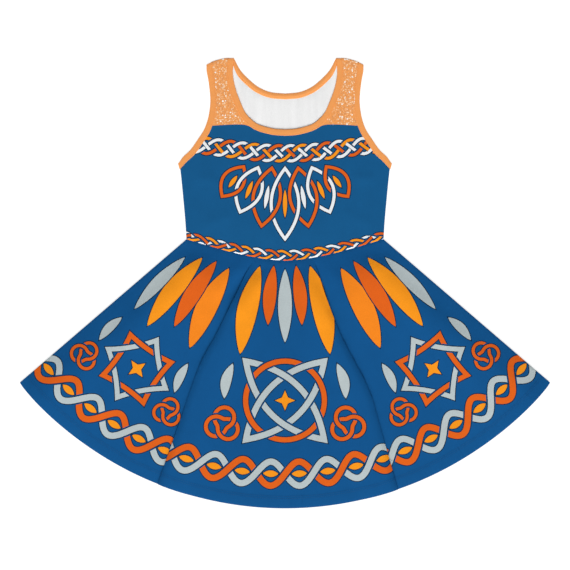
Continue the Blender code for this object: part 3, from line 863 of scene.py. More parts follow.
# The loops that hang from the chest band: (x of the middle, y of the middle, length, width, lean in degrees,
# ink, ink of the leaf inside)
CHEST_LOOPS = (
    (0.0000, 0.1150, 0.1020, 0.0400, 0.0, "white", "amber"),
    (0.0265, 0.1245, 0.0850, 0.0390, 10.0, "deep orange", "white"),
    (0.0520, 0.1350, 0.0690, 0.0360, 22.0, "white", "amber"),
    (0.0755, 0.1470, 0.0530, 0.0310, 36.0, "deep orange", "amber"),
)
CHEST_RIBBON = 0.0044
CHEST_LEAF_WIDTH = 0.0062
CHEST_LEAF_SHARE = 0.40            # length of the leaf, as a share of its loop's
CHEST_BAND = ((-0.140, 0.2020), (-0.085, 0.1950), (-0.040, 0.1895), (0.0, 0.1880),
              (0.040, 0.1895), (0.085, 0.1950), (0.140, 0.2020))
CHEST_BAND_POINTS = 300
CHEST_BAND_INKS = ("white", "deep orange", "white", "amber")
CHEST_BAND_WAVES = 4.0             # waves of each ribbon along the band
CHEST_BAND_START = 0.25 * math.pi
CHEST_BAND_SWING = 0.0112
CHEST_BAND_RIBBON = 0.0042
WAIST_BAND_POINTS = 500
WAIST_BAND_INKS = ("white", "amber", "deep orange")
WAIST_BAND_START = 0.5 * math.pi
WAIST_BAND_HALF = 0.1460           # how far the waist plait runs from the centre line
WAIST_BAND_RISE = (0.0066, 0.0016)   # its height over the seam at the centre, and how much less at its ends
WAIST_BAND_SWING = (0.0070, 0.0026)  # its swing at the centre, and how much less at its ends
WAIST_BAND_WAVE = 0.0540
WAIST_BAND_RIBBON = 0.0032
YOKE_CORNERS = ((0.135, 0.2272), (0.135, 0.340), (0.030, 0.340), (0.030, 0.2215))


def plait(art, guide, inks, swing, wave, start, width):
    """A flat plait along a guide line, with a ribbon for each ink."""
    lines = twisted(guide, len(inks), swing, wave, start)
    interlace(art, [ribbon(line, width, ink, False) for line, ink in zip(lines, inks)])


def chest_loops(art):
    """A row of interlaced pointed loops, with a leaf inside each."""
    loops = []
    for x, y, length, width, degrees, ink, leaf_ink in CHEST_LOOPS:
        for side in ((1.0,) if x == 0.0 else (1.0, -1.0)):
            middle, lean = np.array((side * x, y)), math.radians(degrees)
            along = np.array((side * math.sin(lean), -math.cos(lean)))
            loop = pointed_ring(middle, 0.5 * length, 2, 0.5 * width, math.atan2(along[1], along[0]))
            loops.append(ribbon(loop, CHEST_RIBBON, ink))
            half_leaf = 0.5 * CHEST_LEAF_SHARE * length * along
            leaf(art, (middle - half_leaf, middle, middle + half_leaf), CHEST_LEAF_WIDTH, leaf_ink)
    interlace(art, loops)


def paint_bodice():
    """The front bodice's print: a chest band with a row of loops, a plait at the waist, and the yoke."""
    art = Print("bodice blue")
    chest_loops(art)
    band = smooth_line(CHEST_BAND, CHEST_BAND_POINTS)
    plait(art, band, CHEST_BAND_INKS, lambda share: CHEST_BAND_SWING, line_length(band) / CHEST_BAND_WAVES,
          CHEST_BAND_START, CHEST_BAND_RIBBON)
    across = np.linspace(-WAIST_BAND_HALF, WAIST_BAND_HALF, WAIST_BAND_POINTS)
    rise = WAIST_BAND_RISE[0] - WAIST_BAND_RISE[1] * np.abs(across / WAIST_BAND_HALF)
    guide = np.column_stack([across, waist_y(across) + rise])
    most, less = WAIST_BAND_SWING
    plait(art, guide, WAIST_BAND_INKS, lambda share: most - less * np.abs(share), WAIST_BAND_WAVE,
          WAIST_BAND_START, WAIST_BAND_RIBBON)
    for side in (-1.0, 1.0):
        art.area(np.vstack([smooth_line(YOKE_LINE, YOKE_POINTS), YOKE_CORNERS]) * (side, 1.0), "yoke")
    return art


def covered(points, shape):
    """Which points lie inside one printed shape."""
    low, high = shape.min(axis=0), shape.max(axis=0)
    near = np.flatnonzero(((points > low) & (points < high)).all(axis=1))
    return near[inside(points[near], shape)]


def edges_between(faces):
    """The edges of faces, each once."""
    pairs = {tuple(sorted(pair)) for face in faces for pair in zip(face, [*face[1:], face[0]])}
    return sorted(pair for pair in pairs if pair[0] != pair[1])


def cloth_mesh(name, outline, inner_points, surface, ground, art=None, lines=(), slots=None, face_up=True):
    """A mesh of a panel whose print is cut into its faces.

    The flat cut, its own points and the edges of every printed shape are triangulated together. The last
    shape that covers a triangle gives its ink. The flat points are then carried to where the cloth lies.
    """
    points = [outline, inner_points]
    edges = edges_between([list(range(len(outline)))])
    count = len(outline) + len(inner_points)
    for line in lines:
        points.append(line)
        edges += [(count + i, count + i + 1) for i in range(len(line) - 1)]
        count += len(line)
    if art:
        shapes = np.vstack(art.points)
        points.append(shapes)
        edges += edges_between([[count + corner for corner in face] for face in art.faces])
    made = geometry.delaunay_2d_cdt([Vector(point) for point in np.vstack(points)], edges, [], 0, WELD, False)
    flat, triangles = np.array([tuple(point) for point in made[0]]), np.array(made[2])
    triangles = triangles[inside(flat[triangles].mean(axis=1), outline)]
    centres = flat[triangles].mean(axis=1)
    inks = np.full(len(triangles), ground, dtype=object)
    if art:
        for face, ink in zip(art.faces, art.inks):
            inks[covered(centres, shapes[face])] = ink
    if not face_up:
        triangles = triangles[:, ::-1]
    used, corners = np.unique(triangles, return_inverse=True)
    corners = corners.reshape(-1, 3)
    mesh = bpy.data.meshes.new(name)
    mesh.from_pydata(surface(flat[used]).tolist(), [], corners.tolist())
    colours = np.ones((len(inks), 3, 4), np.float32)
    for ink in set(inks):
        colours[inks == ink, :, :3] = INKS.get(ink, INKS[ground])
    mesh.attributes.new("print", "FLOAT_COLOR", "CORNER").data.foreach_set("color", colours.ravel())
    slots = slots or {}
    mesh.polygons.foreach_set("material_index", [slots.get(ink, 0) for ink in inks])
    mesh.shade_smooth()
    mesh.validate()
    return mesh


def inside_grid(outline, margin):
    """A grid of points inside an outline."""
    low, high = outline.min(axis=0), outline.max(axis=0)
    columns = np.arange(low[0], high[0], GRID)
    rows = np.arange(low[1], high[1], GRID * GRID_ROWS)
    shifts = [0.5 * GRID if row % 2 else 0.0 for row in range(len(rows))]
    points = np.array([(x + shift, y) for shift, y in zip(shifts, rows) for x in columns])
    return points[inside(points, outline) & (edge_distance(points, outline) > margin)]


def inside(points, outline):
    """Which points lie inside a closed outline."""
    result = np.zeros(len(points), bool)
    for (x0, y0), (x1, y1) in zip(outline, np.roll(outline, -1, axis=0)):
        if y0 == y1:
            continue
        between = (points[:, 1] >= min(y0, y1)) & (points[:, 1] < max(y0, y1))
        result ^= between & (points[:, 0] < x0 + (points[:, 1] - y0) / (y1 - y0) * (x1 - x0))
    return result


def skirt_front_edge(limit, margin):
    """The waist or the hem edge of the front skirt's flat cut, as angles and distances from the apex."""
    ends = []
    for side in (-1, 1):
        corner = np.array([side * SKIRT_HALF_ANGLE])
        ends.append(unfold(corner, limit(corner), side)[0])
    corner_reach = limit(np.array([SKIRT_HALF_ANGLE]))[0]
    count = int((ends[1] - ends[0]) * corner_reach / EDGE_STEP)
    angle = np.linspace(ends[0], ends[1], count)
    reach = np.full(count, corner_reach)
    for _ in range(ROUNDS):
        seen, _ = lay(angle, reach)
        reach = limit(np.clip(seen, -SKIRT_HALF_ANGLE, SKIRT_HALF_ANGLE)) + margin
    return angle, reach


def skirt_front_hem():
    """The hem edge of the front skirt's flat cut."""
    return skirt_front_edge(hem_reach, 0.0)


SKIRT_REACH = (0.1500, 0.5120)     # distances from the apex between which the rows of points lie
FOLD_TOP = 0.008                   # distance below the waist at which the fold lines start
FOLD_END = 0.5080                  # distance from the apex at which they end
FOLD_STEP = 0.0045                 # distance between points along them
ROLL_LINES = (1.0, 0.75, 0.5, 0.25, 0.1)   # lines over the swell beside a fold, as shares of its width
TURN_LINES = 7                     # lines round each turn of a fold
TUCK_LINES = (0.33, 0.67)          # lines along the tucked cloth between the turns, as shares of its depth


def skirt_front_grid():
    """Rows of points of the front skirt's flat cut, clear of its edges and fold lines."""
    grid = []
    for row, reach in enumerate(np.arange(*SKIRT_REACH, GRID * SKIRT_GRID_ROWS)):
        widest = unfold(np.array([SKIRT_HALF_ANGLE]), np.array([reach]), 1)[0]
        count = int(2.0 * widest * reach / GRID)
        angle = np.linspace(-widest, widest, count) + (0.5 * GRID / reach if row % 2 else 0.0)
        far = np.full(count, reach)
        clear = np.ones(count, bool)
        for side in (-1, 1):
            fold, turn, tuck = fold_at(far, side)
            along = (side * angle - fold) * far + FOLD_TURN_RADIUS
            hidden = 2.0 * FOLD_TURN_RADIUS * turn + tuck
            clear &= (along < -FOLD_ROLL_WIDTH - CLEAR) | (along > hidden + CLEAR)
        seen, _ = lay(angle, far)
        clear &= (far > waist_reach(seen) + CLEAR) & (far < hem_reach(seen) - CLEAR)
        clear &= np.abs(seen) < SKIRT_HALF_ANGLE - CLEAR / far
        grid.append(from_polar(angle[clear], far[clear]))
    return np.vstack(grid)


def fold_lines():
    """Lines along the folds on the front skirt's flat cut, over their swells, turns and tucked cloth."""
    lines = []
    for side in (-1, 1):
        near = waist_reach(np.array([FOLD_MEAN_ANGLE[side]]))[0]
        reach = np.arange(near + FOLD_TOP, FOLD_END, FOLD_STEP)
        fold, turn, tuck = fold_at(reach, side)
        arc = FOLD_TURN_RADIUS * turn
        levels = [-share * FOLD_ROLL_WIDTH for share in ROLL_LINES]
        levels += [share * arc for share in np.linspace(0.0, 1.0, TURN_LINES)]
        levels += [arc + share * tuck for share in TUCK_LINES]
        levels += [arc + tuck + share * arc for share in np.linspace(0.0, 1.0, TURN_LINES)]
        for level in levels:
            lines.append(from_polar(side * (fold + (level - FOLD_TURN_RADIUS) / reach), reach))
    return lines


def skirt_front_outline():
    """The outline of the front skirt's flat cut."""
    top_angle, top_reach = skirt_front_edge(waist_reach, -SEAM_LAP)
    hem_angle, hem_far = skirt_front_hem()
    rows = int((hem_far[-1] - top_reach[-1]) / EDGE_STEP)
    sides = []
    for end, side in ((0, -1), (-1, 1)):
        reach = np.linspace(hem_far[end], top_reach[end], rows)[1:-1]
        sides.append((unfold(np.full(len(reach), side * SKIRT_HALF_ANGLE), reach, side), reach))
    (left_angle, left_reach), (right_angle, right_reach) = sides
    return np.vstack([
        from_polar(hem_angle, hem_far),
        from_polar(right_angle, right_reach),
        from_polar(top_angle[::-1], top_reach[::-1]),
        from_polar(left_angle[::-1], left_reach[::-1]),
    ])


def material(name):
    """A new node material, with its nodes, its links and its shader."""
    made = bpy.data.materials.new(name)
    made.use_nodes = True
    tree = made.node_tree
    return made, tree.nodes, tree.links, tree.nodes["Principled BSDF"]


def knit_bump(nodes, links, shader, strength, loop):
    """The fine loops of a jersey, in upright columns, as a bump."""
    place = nodes.new("ShaderNodeTexCoord")
    both = nodes.new("ShaderNodeMath")
    both.operation = "MULTIPLY"
    for socket, direction, size, uneven in zip(both.inputs, "XY", (loop, KNIT_ROW * loop), KNIT_UNEVEN):
        wave = nodes.new("ShaderNodeTexWave")
        wave.bands_direction = direction
        wave.inputs["Scale"].default_value = 2.0 * math.pi / (WAVE_UNIT * size)
        wave.inputs["Distortion"].default_value = uneven
        wave.inputs["Detail"].default_value = 1.0
        links.new(place.outputs["Object"], wave.inputs["Vector"])
        links.new(wave.outputs["Fac"], socket)
    bump = nodes.new("ShaderNodeBump")
    bump.inputs["Strength"].default_value = strength
    bump.inputs["Distance"].default_value = KNIT_DEPTH
    links.new(both.outputs["Value"], bump.inputs["Height"])
    links.new(bump.outputs["Normal"], shader.inputs["Normal"])
    return place


def mottled(nodes, links, place, colour_output, size, amount, stretch=1.0):
    """A colour that is a little lighter and darker from place to place, in upright streaks if stretched."""
    squeeze = nodes.new("ShaderNodeMapping")
    squeeze.inputs["Scale"].default_value = (1.0, 1.0 / stretch, 1.0)
    noise = nodes.new("ShaderNodeTexNoise")
    noise.inputs["Scale"].default_value = 1.0 / size
    noise.inputs["Detail"].default_value = NOISE_DETAIL
    spread = nodes.new("ShaderNodeMapRange")
    spread.inputs["From Min"].default_value = NOISE_SPAN[0]
    spread.inputs["From Max"].default_value = NOISE_SPAN[1]
    spread.inputs["To Min"].default_value = 1.0 - amount
    spread.inputs["To Max"].default_value = 1.0 + amount
    mix = nodes.new("ShaderNodeMix")
    mix.data_type = "RGBA"
    mix.blend_type = "MULTIPLY"
    mix.inputs["Factor"].default_value = 1.0
    links.new(place.outputs["Object"], squeeze.inputs["Vector"])
    links.new(squeeze.outputs["Vector"], noise.inputs["Vector"])
    links.new(noise.outputs["Fac"], spread.inputs["Value"])
    links.new(colour_output, mix.inputs["A"])
    links.new(spread.outputs["Result"], mix.inputs["B"])
    return mix.outputs["Result"]


def finish_cloth(shader, roughness, sheen, specular):
    """The uniform finish values of a cloth."""
    shader.inputs["Roughness"].default_value = roughness
    shader.inputs["Specular IOR Level"].default_value = specular
    shader.inputs["Sheen Weight"].default_value = sheen
    shader.inputs["Sheen Roughness"].default_value = SHEEN_ROUGHNESS


def printed_jersey():
    """Jersey with the print in its faces."""
    made, nodes, links, shader = material("printed_jersey")
    place = knit_bump(nodes, links, shader, PRINTED_KNIT, KNIT_LOOP)
    ink = nodes.new("ShaderNodeAttribute")
    ink.attribute_name = "print"
    fine = mottled(nodes, links, place, ink.outputs["Color"], *PRINTED_FINE)
    broad = mottled(nodes, links, place, fine, *PRINTED_BROAD)
    links.new(broad, shader.inputs["Base Color"])
    finish_cloth(shader, *PRINTED_FINISH)
    return made


def math_node(nodes, links, operation, *values):
    """A Math node with its inputs linked or set."""
    made = nodes.new("ShaderNodeMath")
    made.operation = operation
    for socket, value in zip(made.inputs, values):
        if isinstance(value, bpy.types.NodeSocket):
            links.new(value, socket)
        else:
            socket.default_value = value
    return made.outputs["Value"]


def glitter_jersey():
    """The orange yoke, with pale and brown glitter flecks that thin out towards its edges."""
    made, nodes, links, shader = material("glitter_yoke")
    place = knit_bump(nodes, links, shader, YOKE_KNIT, KNIT_LOOP)
    parts = nodes.new("ShaderNodeSeparateXYZ")
    links.new(place.outputs["Object"], parts.inputs["Vector"])
    across = math_node(nodes, links, "ABSOLUTE", parts.outputs["X"])
    off_middle = math_node(nodes, links, "SUBTRACT", across, GLITTER_MIDDLE)
    off_middle = math_node(nodes, links, "DIVIDE", off_middle, GLITTER_SPREAD)
    density = math_node(nodes, links, "MULTIPLY", off_middle, off_middle)
    density = math_node(nodes, links, "MULTIPLY", density, -1.0)
    density = math_node(nodes, links, "EXPONENT", density)
    above_line = math_node(nodes, links, "SUBTRACT", parts.outputs["Y"], GLITTER_FROM)
    above_line = math_node(nodes, links, "DIVIDE", above_line, GLITTER_START)
    above_line = math_node(nodes, links, "MINIMUM", above_line, 1.0)
    density = math_node(nodes, links, "MULTIPLY", density, above_line)
    colour = nodes.new("ShaderNodeRGB")
    colour.outputs[0].default_value = (*YOKE_COLOUR, 1.0)
    layer = colour.outputs[0]
    for size, share, radius, tint, seed in GLITTER:
        layer = flecks(nodes, links, place, layer, density, size, share, radius, tint, seed)
    links.new(layer, shader.inputs["Base Color"])
    finish_cloth(shader, *YOKE_FINISH)
    return made


def flecks(nodes, links, place, ground, density, size, share, radius, tint, seed):
    """Small uneven flecks of a tint over a ground colour, in a share of the places where the density is 1."""
    shift = nodes.new("ShaderNodeMapping")
    shift.inputs["Location"].default_value = (FLECK_SHIFT[0] * seed, FLECK_SHIFT[1] * seed, 0.0)
    cells = nodes.new("ShaderNodeTexVoronoi")
    cells.inputs["Scale"].default_value = 1.0 / size
    chance = nodes.new("ShaderNodeSeparateColor")
    mix = nodes.new("ShaderNodeMix")
    mix.data_type = "RGBA"
    mix.inputs["B"].default_value = (*tint, 1.0)
    links.new(place.outputs["Object"], shift.inputs["Vector"])
    links.new(shift.outputs["Vector"], cells.inputs["Vector"])
    links.new(cells.outputs["Color"], chance.inputs["Color"])
    wanted = math_node(nodes, links, "MULTIPLY", density, share)
    chosen = math_node(nodes, links, "LESS_THAN", chance.outputs["Red"], wanted)
    least, vary = FLECK_RADII
    reach = math_node(nodes, links, "MULTIPLY_ADD", chance.outputs["Green"], vary * radius, least * radius)
    within = math_node(nodes, links, "LESS_THAN", cells.outputs["Distance"], reach)
    links.new(math_node(nodes, links, "MULTIPLY", chosen, within), mix.inputs["Factor"])
    links.new(ground, mix.inputs["A"])
    return mix.outputs["Result"]


def plain_cloth(name):
    """A knitted cloth of one colour, a little uneven."""
    colour, roughness, sheen, specular, loop, strength, stretch = PLAIN_CLOTHS[name]
    made, nodes, links, shader = material(name)
    place = knit_bump(nodes, links, shader, strength, loop)
    flat = nodes.new("ShaderNodeRGB")
    flat.outputs[0].default_value = (*colour, 1.0)
    fine = mottled(nodes, links, place, flat.outputs[0], *PLAIN_FINE)
    size, amount = PLAIN_BROAD
    # stretched, these patches are upright streaks of painted shade for soft vertical folds; unstretched,
    # uneven tone at random
    broad = mottled(nodes, links, place, fine, size / stretch ** 0.5, amount * stretch ** 0.25, stretch)
    links.new(broad, shader.inputs["Base Color"])
    finish_cloth(shader, roughness, sheen, specular)
    return made


def add_panel(name, mesh, materials, inside_slot, node):
    """A cloth panel in place of its solid. The inside of its faces takes the material that many slots on."""
    piece = bpy.data.objects.new(name, mesh)
    bpy.context.scene.collection.objects.link(piece)
    for each in materials:
        mesh.materials.append(each)
    wall = piece.modifiers.new("Wall", "SOLIDIFY")
    wall.thickness = JERSEY
    wall.offset = 0.0
    wall.material_offset = inside_slot
    even = piece.modifiers.new("Even shading", "WEIGHTED_NORMAL")
    even.mode = "FACE_AREA"
    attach(piece, "root")
    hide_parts(node)
    return piece


# The section of a binding, from its free edge round its outer face and back along its inner one:
# (share of the way from the free edge to the sewn one, share of the height)
BINDING_SECTION = ((0.000, 0.40), (0.008, 0.70), (0.028, 0.90), (0.070, 0.98), (0.300, 1.01), (0.520, 1.02),
                   (0.700, 1.01), (0.790, 0.94), (0.820, 0.91), (0.850, 0.94), (0.930, 1.00), (0.985, 0.86),
                   (1.000, 0.55), (1.000, 0.10), (0.500, 0.00), (0.040, 0.03), (0.000, 0.20))
BINDING_HEIGHT = {"front": 0.0011, "back": 0.0010}
BINDING_LAP = 0.0009               # how far a binding reaches over its panel
BETWEEN_Z = FRONT_Z - 0.5 * WALL - 0.5 * GAP   # the level between the front and the back
TURN_STEPS = 7                     # steps of a binding's turn over the shoulder
UNDERSIDE = 0.06                   # how much less it may bulge on the back, which lies flat, than in front
PUCKER = (0.05, 1.7, 0.41)         # how far it puckers, and the quick and the slow course of that


def binding_section(free, sewn, angle, beyond, pucker=0.0):
    """One section of a binding, from its free to its sewn edge, turned over the shoulder by an angle."""
    profile = np.array(BINDING_SECTION)
    turned_share = 0.5 * (1.0 - math.cos(angle))
    height = BINDING_HEIGHT["front"] * (1.0 - turned_share) + BINDING_HEIGHT["back"] * turned_share
    bulge = np.minimum(profile[:, 1], 1.0 + UNDERSIDE * (1.0 - turned_share))
    radius = 0.5 * GAP + bulge * height * (1.0 + pucker)
    place = free[None, :] + profile[:, :1] * (sewn - free)[None, :]
    place = place + math.sin(angle) * radius[:, None] * beyond[None, :]
    return np.column_stack([place, BETWEEN_Z + math.cos(angle) * radius])


def turn_over(front_free, front_sewn, back_free, back_sewn):
    """The sections at one end of a binding, where it turns from the front over the shoulder to the back."""
    along = (front_sewn[-1] - front_free[-1]) / np.linalg.norm(front_sewn[-1] - front_free[-1])
    out = np.array((-along[1], along[0]))
    out = out if out @ (front_free[-1] - front_free[-2]) > 0.0 else -out
    sections = []
    for share in np.linspace(0.0, 1.0, TURN_STEPS + 1)[1:-1]:
        free = front_free[-1] + share * (back_free[-1] - front_free[-1])
        sewn = front_sewn[-1] + share * (back_sewn[-1] - front_sewn[-1])
        sections.append(binding_section(free, sewn, math.pi * share, out))
    return sections


def binding_sections(*lines):
    """The sections of a binding that turns over both ends of the front and comes back along the back."""
    front_free, front_sewn, back_free, back_sewn = lines
    flat = np.zeros(2)
    place = np.arange(len(front_free))
    depth, quick, slow = PUCKER
    pucker = depth * np.sin(place * quick) * np.sin(place * slow + 1.0)
    front = zip(front_free, front_sewn, pucker)
    back = zip(back_free[::-1], back_sewn[::-1])
    sections = [binding_section(free, sewn, 0.0, flat, low) for free, sewn, low in front]
    sections += turn_over(*lines)
    sections += [binding_section(free, sewn, math.pi, flat) for free, sewn in back]
    return sections + turn_over(*(line[::-1] for line in lines))[::-1]


def tube_mesh(name, sections):
    """A closed ring through closed sections."""
    count, around = len(sections), len(sections[0])
    faces = []
    for i in range(count):
        after = (i + 1) % count
        for j in range(around):
            k = (j + 1) % around
            faces.append((i * around + j, after * around + j, after * around + k, i * around + k))
    mesh = bpy.data.meshes.new(name)
    mesh.from_pydata(np.vstack(sections).tolist(), [], faces)
    shape = bmesh.new()
    shape.from_mesh(mesh)
    bmesh.ops.recalc_face_normals(shape, faces=shape.faces)
    shape.to_mesh(mesh)
    shape.free()
    mesh.shade_smooth()
    return mesh


def same_count(lines):
    """The lines with the same number of evenly spaced points."""
    count = max(len(line) for line in lines)
    return [evenly(line, count) for line in lines]


def on_both_sides(line):
    """A line from the centre outwards, continued over the centre to the other side."""
    return np.vstack([line[::-1] * (-1.0, 1.0), line[1:]])


def add_binding(name, sections, finish):
    """A binding in the scene, in place of its solid."""
    mesh = tube_mesh(name + "_cloth", sections)
    mesh.materials.append(finish)
    piece = bpy.data.objects.new(name + "_cloth", mesh)
    bpy.context.scene.collection.objects.link(piece)
    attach(piece, "root")
    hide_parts(name)
    return piece


def make_bindings(finish):
    """The neck binding and the two armhole bindings."""
    lines = [neck_line(edge, inwards) for edge, inwards in (
        (FRONT_NECK_EDGE, 0.0), (FRONT_NECK_EDGE, FRONT_NECK_BINDING + BINDING_LAP),
        (BACK_NECK_EDGE, 0.0), (BACK_NECK_EDGE, BACK_NECK_BINDING + BINDING_LAP))]
    front = [on_both_sides(line) for line in same_count(lines[:2])]
    back = [on_both_sides(line) for line in same_count(lines[2:])]
    pieces = [add_binding("neck_binding", binding_sections(*front, *back), finish)]
    for name, side in (("armhole_binding_left", -1.0), ("armhole_binding_right", 1.0)):
        free = armhole_line(0.0, np.array(ARMHOLE_EDGE[0]))
        sewn = armhole_line(ARMHOLE_BINDING + BINDING_LAP, np.array(SIDE_EDGE[-1]))
        free, sewn = (line * (side, 1.0) for line in same_count([free, sewn]))
        pieces.append(add_binding(name, binding_sections(free, sewn, free, sewn), finish))
    return pieces


def node_tree(name, inputs):
    """A geometry node tree with named inputs and one mesh output."""
    tree = bpy.data.node_groups.new(name, "GeometryNodeTree")
    tree.interface.new_socket("Geometry", in_out="INPUT", socket_type="NodeSocketGeometry")
    for label, kind in inputs:
        tree.interface.new_socket(label, in_out="INPUT", socket_type=kind)
    tree.interface.new_socket("Geometry", in_out="OUTPUT", socket_type="NodeSocketGeometry")
    return tree, tree.nodes.new("NodeGroupInput"), tree.nodes.new("NodeGroupOutput")


STITCH = {"Spacing": 0.0030, "Length": 0.0023, "Thickness": 0.00045}
STITCH_SIDES, STITCH_RINGS = 6, 5
STITCH_LIFT = 0.00005              # how far the middle of a stitch stands over the cloth
STITCH_PLACE = 0.82                # where a binding's stitches run, as a share of its width
STITCH_HEIGHT = 0.90               # and as a share of its height
BACK_STITCHES_END = 0.0660         # how far they run from the centre line along the back neckline
HEM_STITCHES = (0.0022, 0.0052)    # distances of the hem's two rows from the inner edge of the turned hem
HEM_STITCH_END = 0.004             # angle at which they end before the side edges
HEM_ROW_POINTS = 900
SHORTEST_ROW = 20                  # a row with fewer points is left out
FLAT = 1e-9                        # cloth that lies less than this angle from its flat cut is past no fold


def stitch_tree():
    """Short round stitches along every curve, each laid along the curve."""
    tree, start, end = node_tree("Stitches along a line", (
        ("Spacing", "NodeSocketFloat"), ("Length", "NodeSocketFloat"), ("Thickness", "NodeSocketFloat"),
        ("Thread", "NodeSocketMaterial")))
    nodes, links = tree.nodes, tree.links
    to_points = nodes.new("GeometryNodeCurveToPoints")
    to_points.mode = "LENGTH"
    stitch = nodes.new("GeometryNodeMeshUVSphere")
    stitch.inputs["Segments"].default_value = STITCH_SIDES
    stitch.inputs["Rings"].default_value = STITCH_RINGS
    stitch.inputs["Radius"].default_value = 0.5
    scale = nodes.new("ShaderNodeCombineXYZ")
    place = nodes.new("GeometryNodeInstanceOnPoints")
    real = nodes.new("GeometryNodeRealizeInstances")
    smooth = nodes.new("GeometryNodeSetShadeSmooth")
    finish = nodes.new("GeometryNodeSetMaterial")
    links.new(start.outputs["Geometry"], to_points.inputs["Curve"])
    links.new(start.outputs["Spacing"], to_points.inputs["Length"])
    links.new(to_points.outputs["Points"], place.inputs["Points"])
    links.new(to_points.outputs["Rotation"], place.inputs["Rotation"])
    links.new(stitch.outputs["Mesh"], place.inputs["Instance"])
    links.new(start.outputs["Thickness"], scale.inputs["X"])
    links.new(start.outputs["Thickness"], scale.inputs["Y"])
    links.new(start.outputs["Length"], scale.inputs["Z"])
    links.new(scale.outputs["Vector"], place.inputs["Scale"])
    links.new(place.outputs["Instances"], real.inputs["Geometry"])
    links.new(real.outputs["Geometry"], smooth.inputs["Geometry"])
    links.new(smooth.outputs["Geometry"], finish.inputs["Geometry"])
    links.new(start.outputs["Thread"], finish.inputs["Material"])
    links.new(finish.outputs["Geometry"], end.inputs["Geometry"])
    return tree


def stitch_rows(name, rows, thread):
    """One piece with a row of stitches along each line."""
    curve = bpy.data.curves.new(name + "_rows", "CURVE")
    curve.dimensions = "3D"
    for row in rows:
        spline = curve.splines.new("POLY")
        spline.points.add(len(row) - 1)
        spline.points.foreach_set("co", np.column_stack([row, np.ones(len(row))]).ravel())
    guide = bpy.data.objects.new(name + "_rows", curve)
    bpy.context.scene.collection.objects.link(guide)
    tree = stitch_tree()
    modifier = guide.modifiers.new("Stitches", "NODES")
    modifier.node_group = tree
    values = {**STITCH, "Thread": thread}
    for item in tree.interface.items_tree:
        if item.in_out == "INPUT" and item.name in values:
            modifier[item.identifier] = values[item.name]
    seen = guide.evaluated_get(bpy.context.evaluated_depsgraph_get())
    mesh = bpy.data.meshes.new_from_object(seen)
    guide.modifiers.remove(modifier)
    bpy.data.objects.remove(guide, do_unlink=True)
    mesh.name = name
    piece = bpy.data.objects.new(name, mesh)
    bpy.context.scene.collection.objects.link(piece)
    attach(piece, "root")


def binding_rows():
    """The lines of the stitches along the bindings."""
    top = FRONT_Z - 0.5 * WALL + STITCH_HEIGHT * BINDING_HEIGHT["front"] + STITCH_LIFT
    back_top = FRONT_Z - 0.5 * WALL - GAP + STITCH_LIFT
    neck = on_both_sides(neck_line(FRONT_NECK_EDGE, STITCH_PLACE * (FRONT_NECK_BINDING + BINDING_LAP))[:-1])
    back = on_both_sides(neck_line(BACK_NECK_EDGE, STITCH_PLACE * (BACK_NECK_BINDING + BINDING_LAP)))
    back = back[np.abs(back[:, 0]) < BACK_STITCHES_END]
    armhole = armhole_line(STITCH_PLACE * (ARMHOLE_BINDING + BINDING_LAP), np.array(SIDE_EDGE[-1]))[:-1]
    rows = [(neck, top), (armhole * (-1.0, 1.0), top), (armhole, top), (back, back_top)]
    return [np.column_stack([line, np.full(len(line), height)]) for line, height in rows]


def hem_rows():
    """The lines of the stitches along the turned hem, broken at the folds."""
    rows = []
    reach = hem_reach(np.array([0.0]))[0]
    widest = unfold(np.array([SKIRT_HALF_ANGLE]), np.array([reach]), 1)[0] - HEM_STITCH_END
    angle = np.linspace(-widest, widest, HEM_ROW_POINTS)
    seen, _ = lay(angle, np.full(len(angle), reach))
    folded = (np.abs(seen - angle) > FLAT).astype(int)
    for inwards in HEM_STITCHES:
        place = skirt_front_surface(from_polar(angle, hem_reach(seen) - HEM_DEPTH + inwards))
        place[:, 2] += 0.5 * JERSEY + STITCH_LIFT
        runs = np.split(place, np.flatnonzero(np.diff(folded)) + 1)
        rows += [run for run in runs if len(run) > SHORTEST_ROW]
    return rows


# Floor, light and camera
FLOOR_HALF = 3.0
FLOOR_DROP = 0.0002
FLOOR_GREY = 0.40
FLOOR_GLOW = 0.74
WORLD_LIGHT = 0.28
KEY_LIGHT = 3.75
KEY_SOFTNESS = math.radians(50.0)
KEY_HEIGHT = math.radians(36.0)    # how high the main light stands over the hem's side
LENS = 100.0
SENSOR = 36.0
FRAME_WIDTH = 0.8265               # width of the surface that the picture shows
FRAME_CENTRE_Y = -0.0029


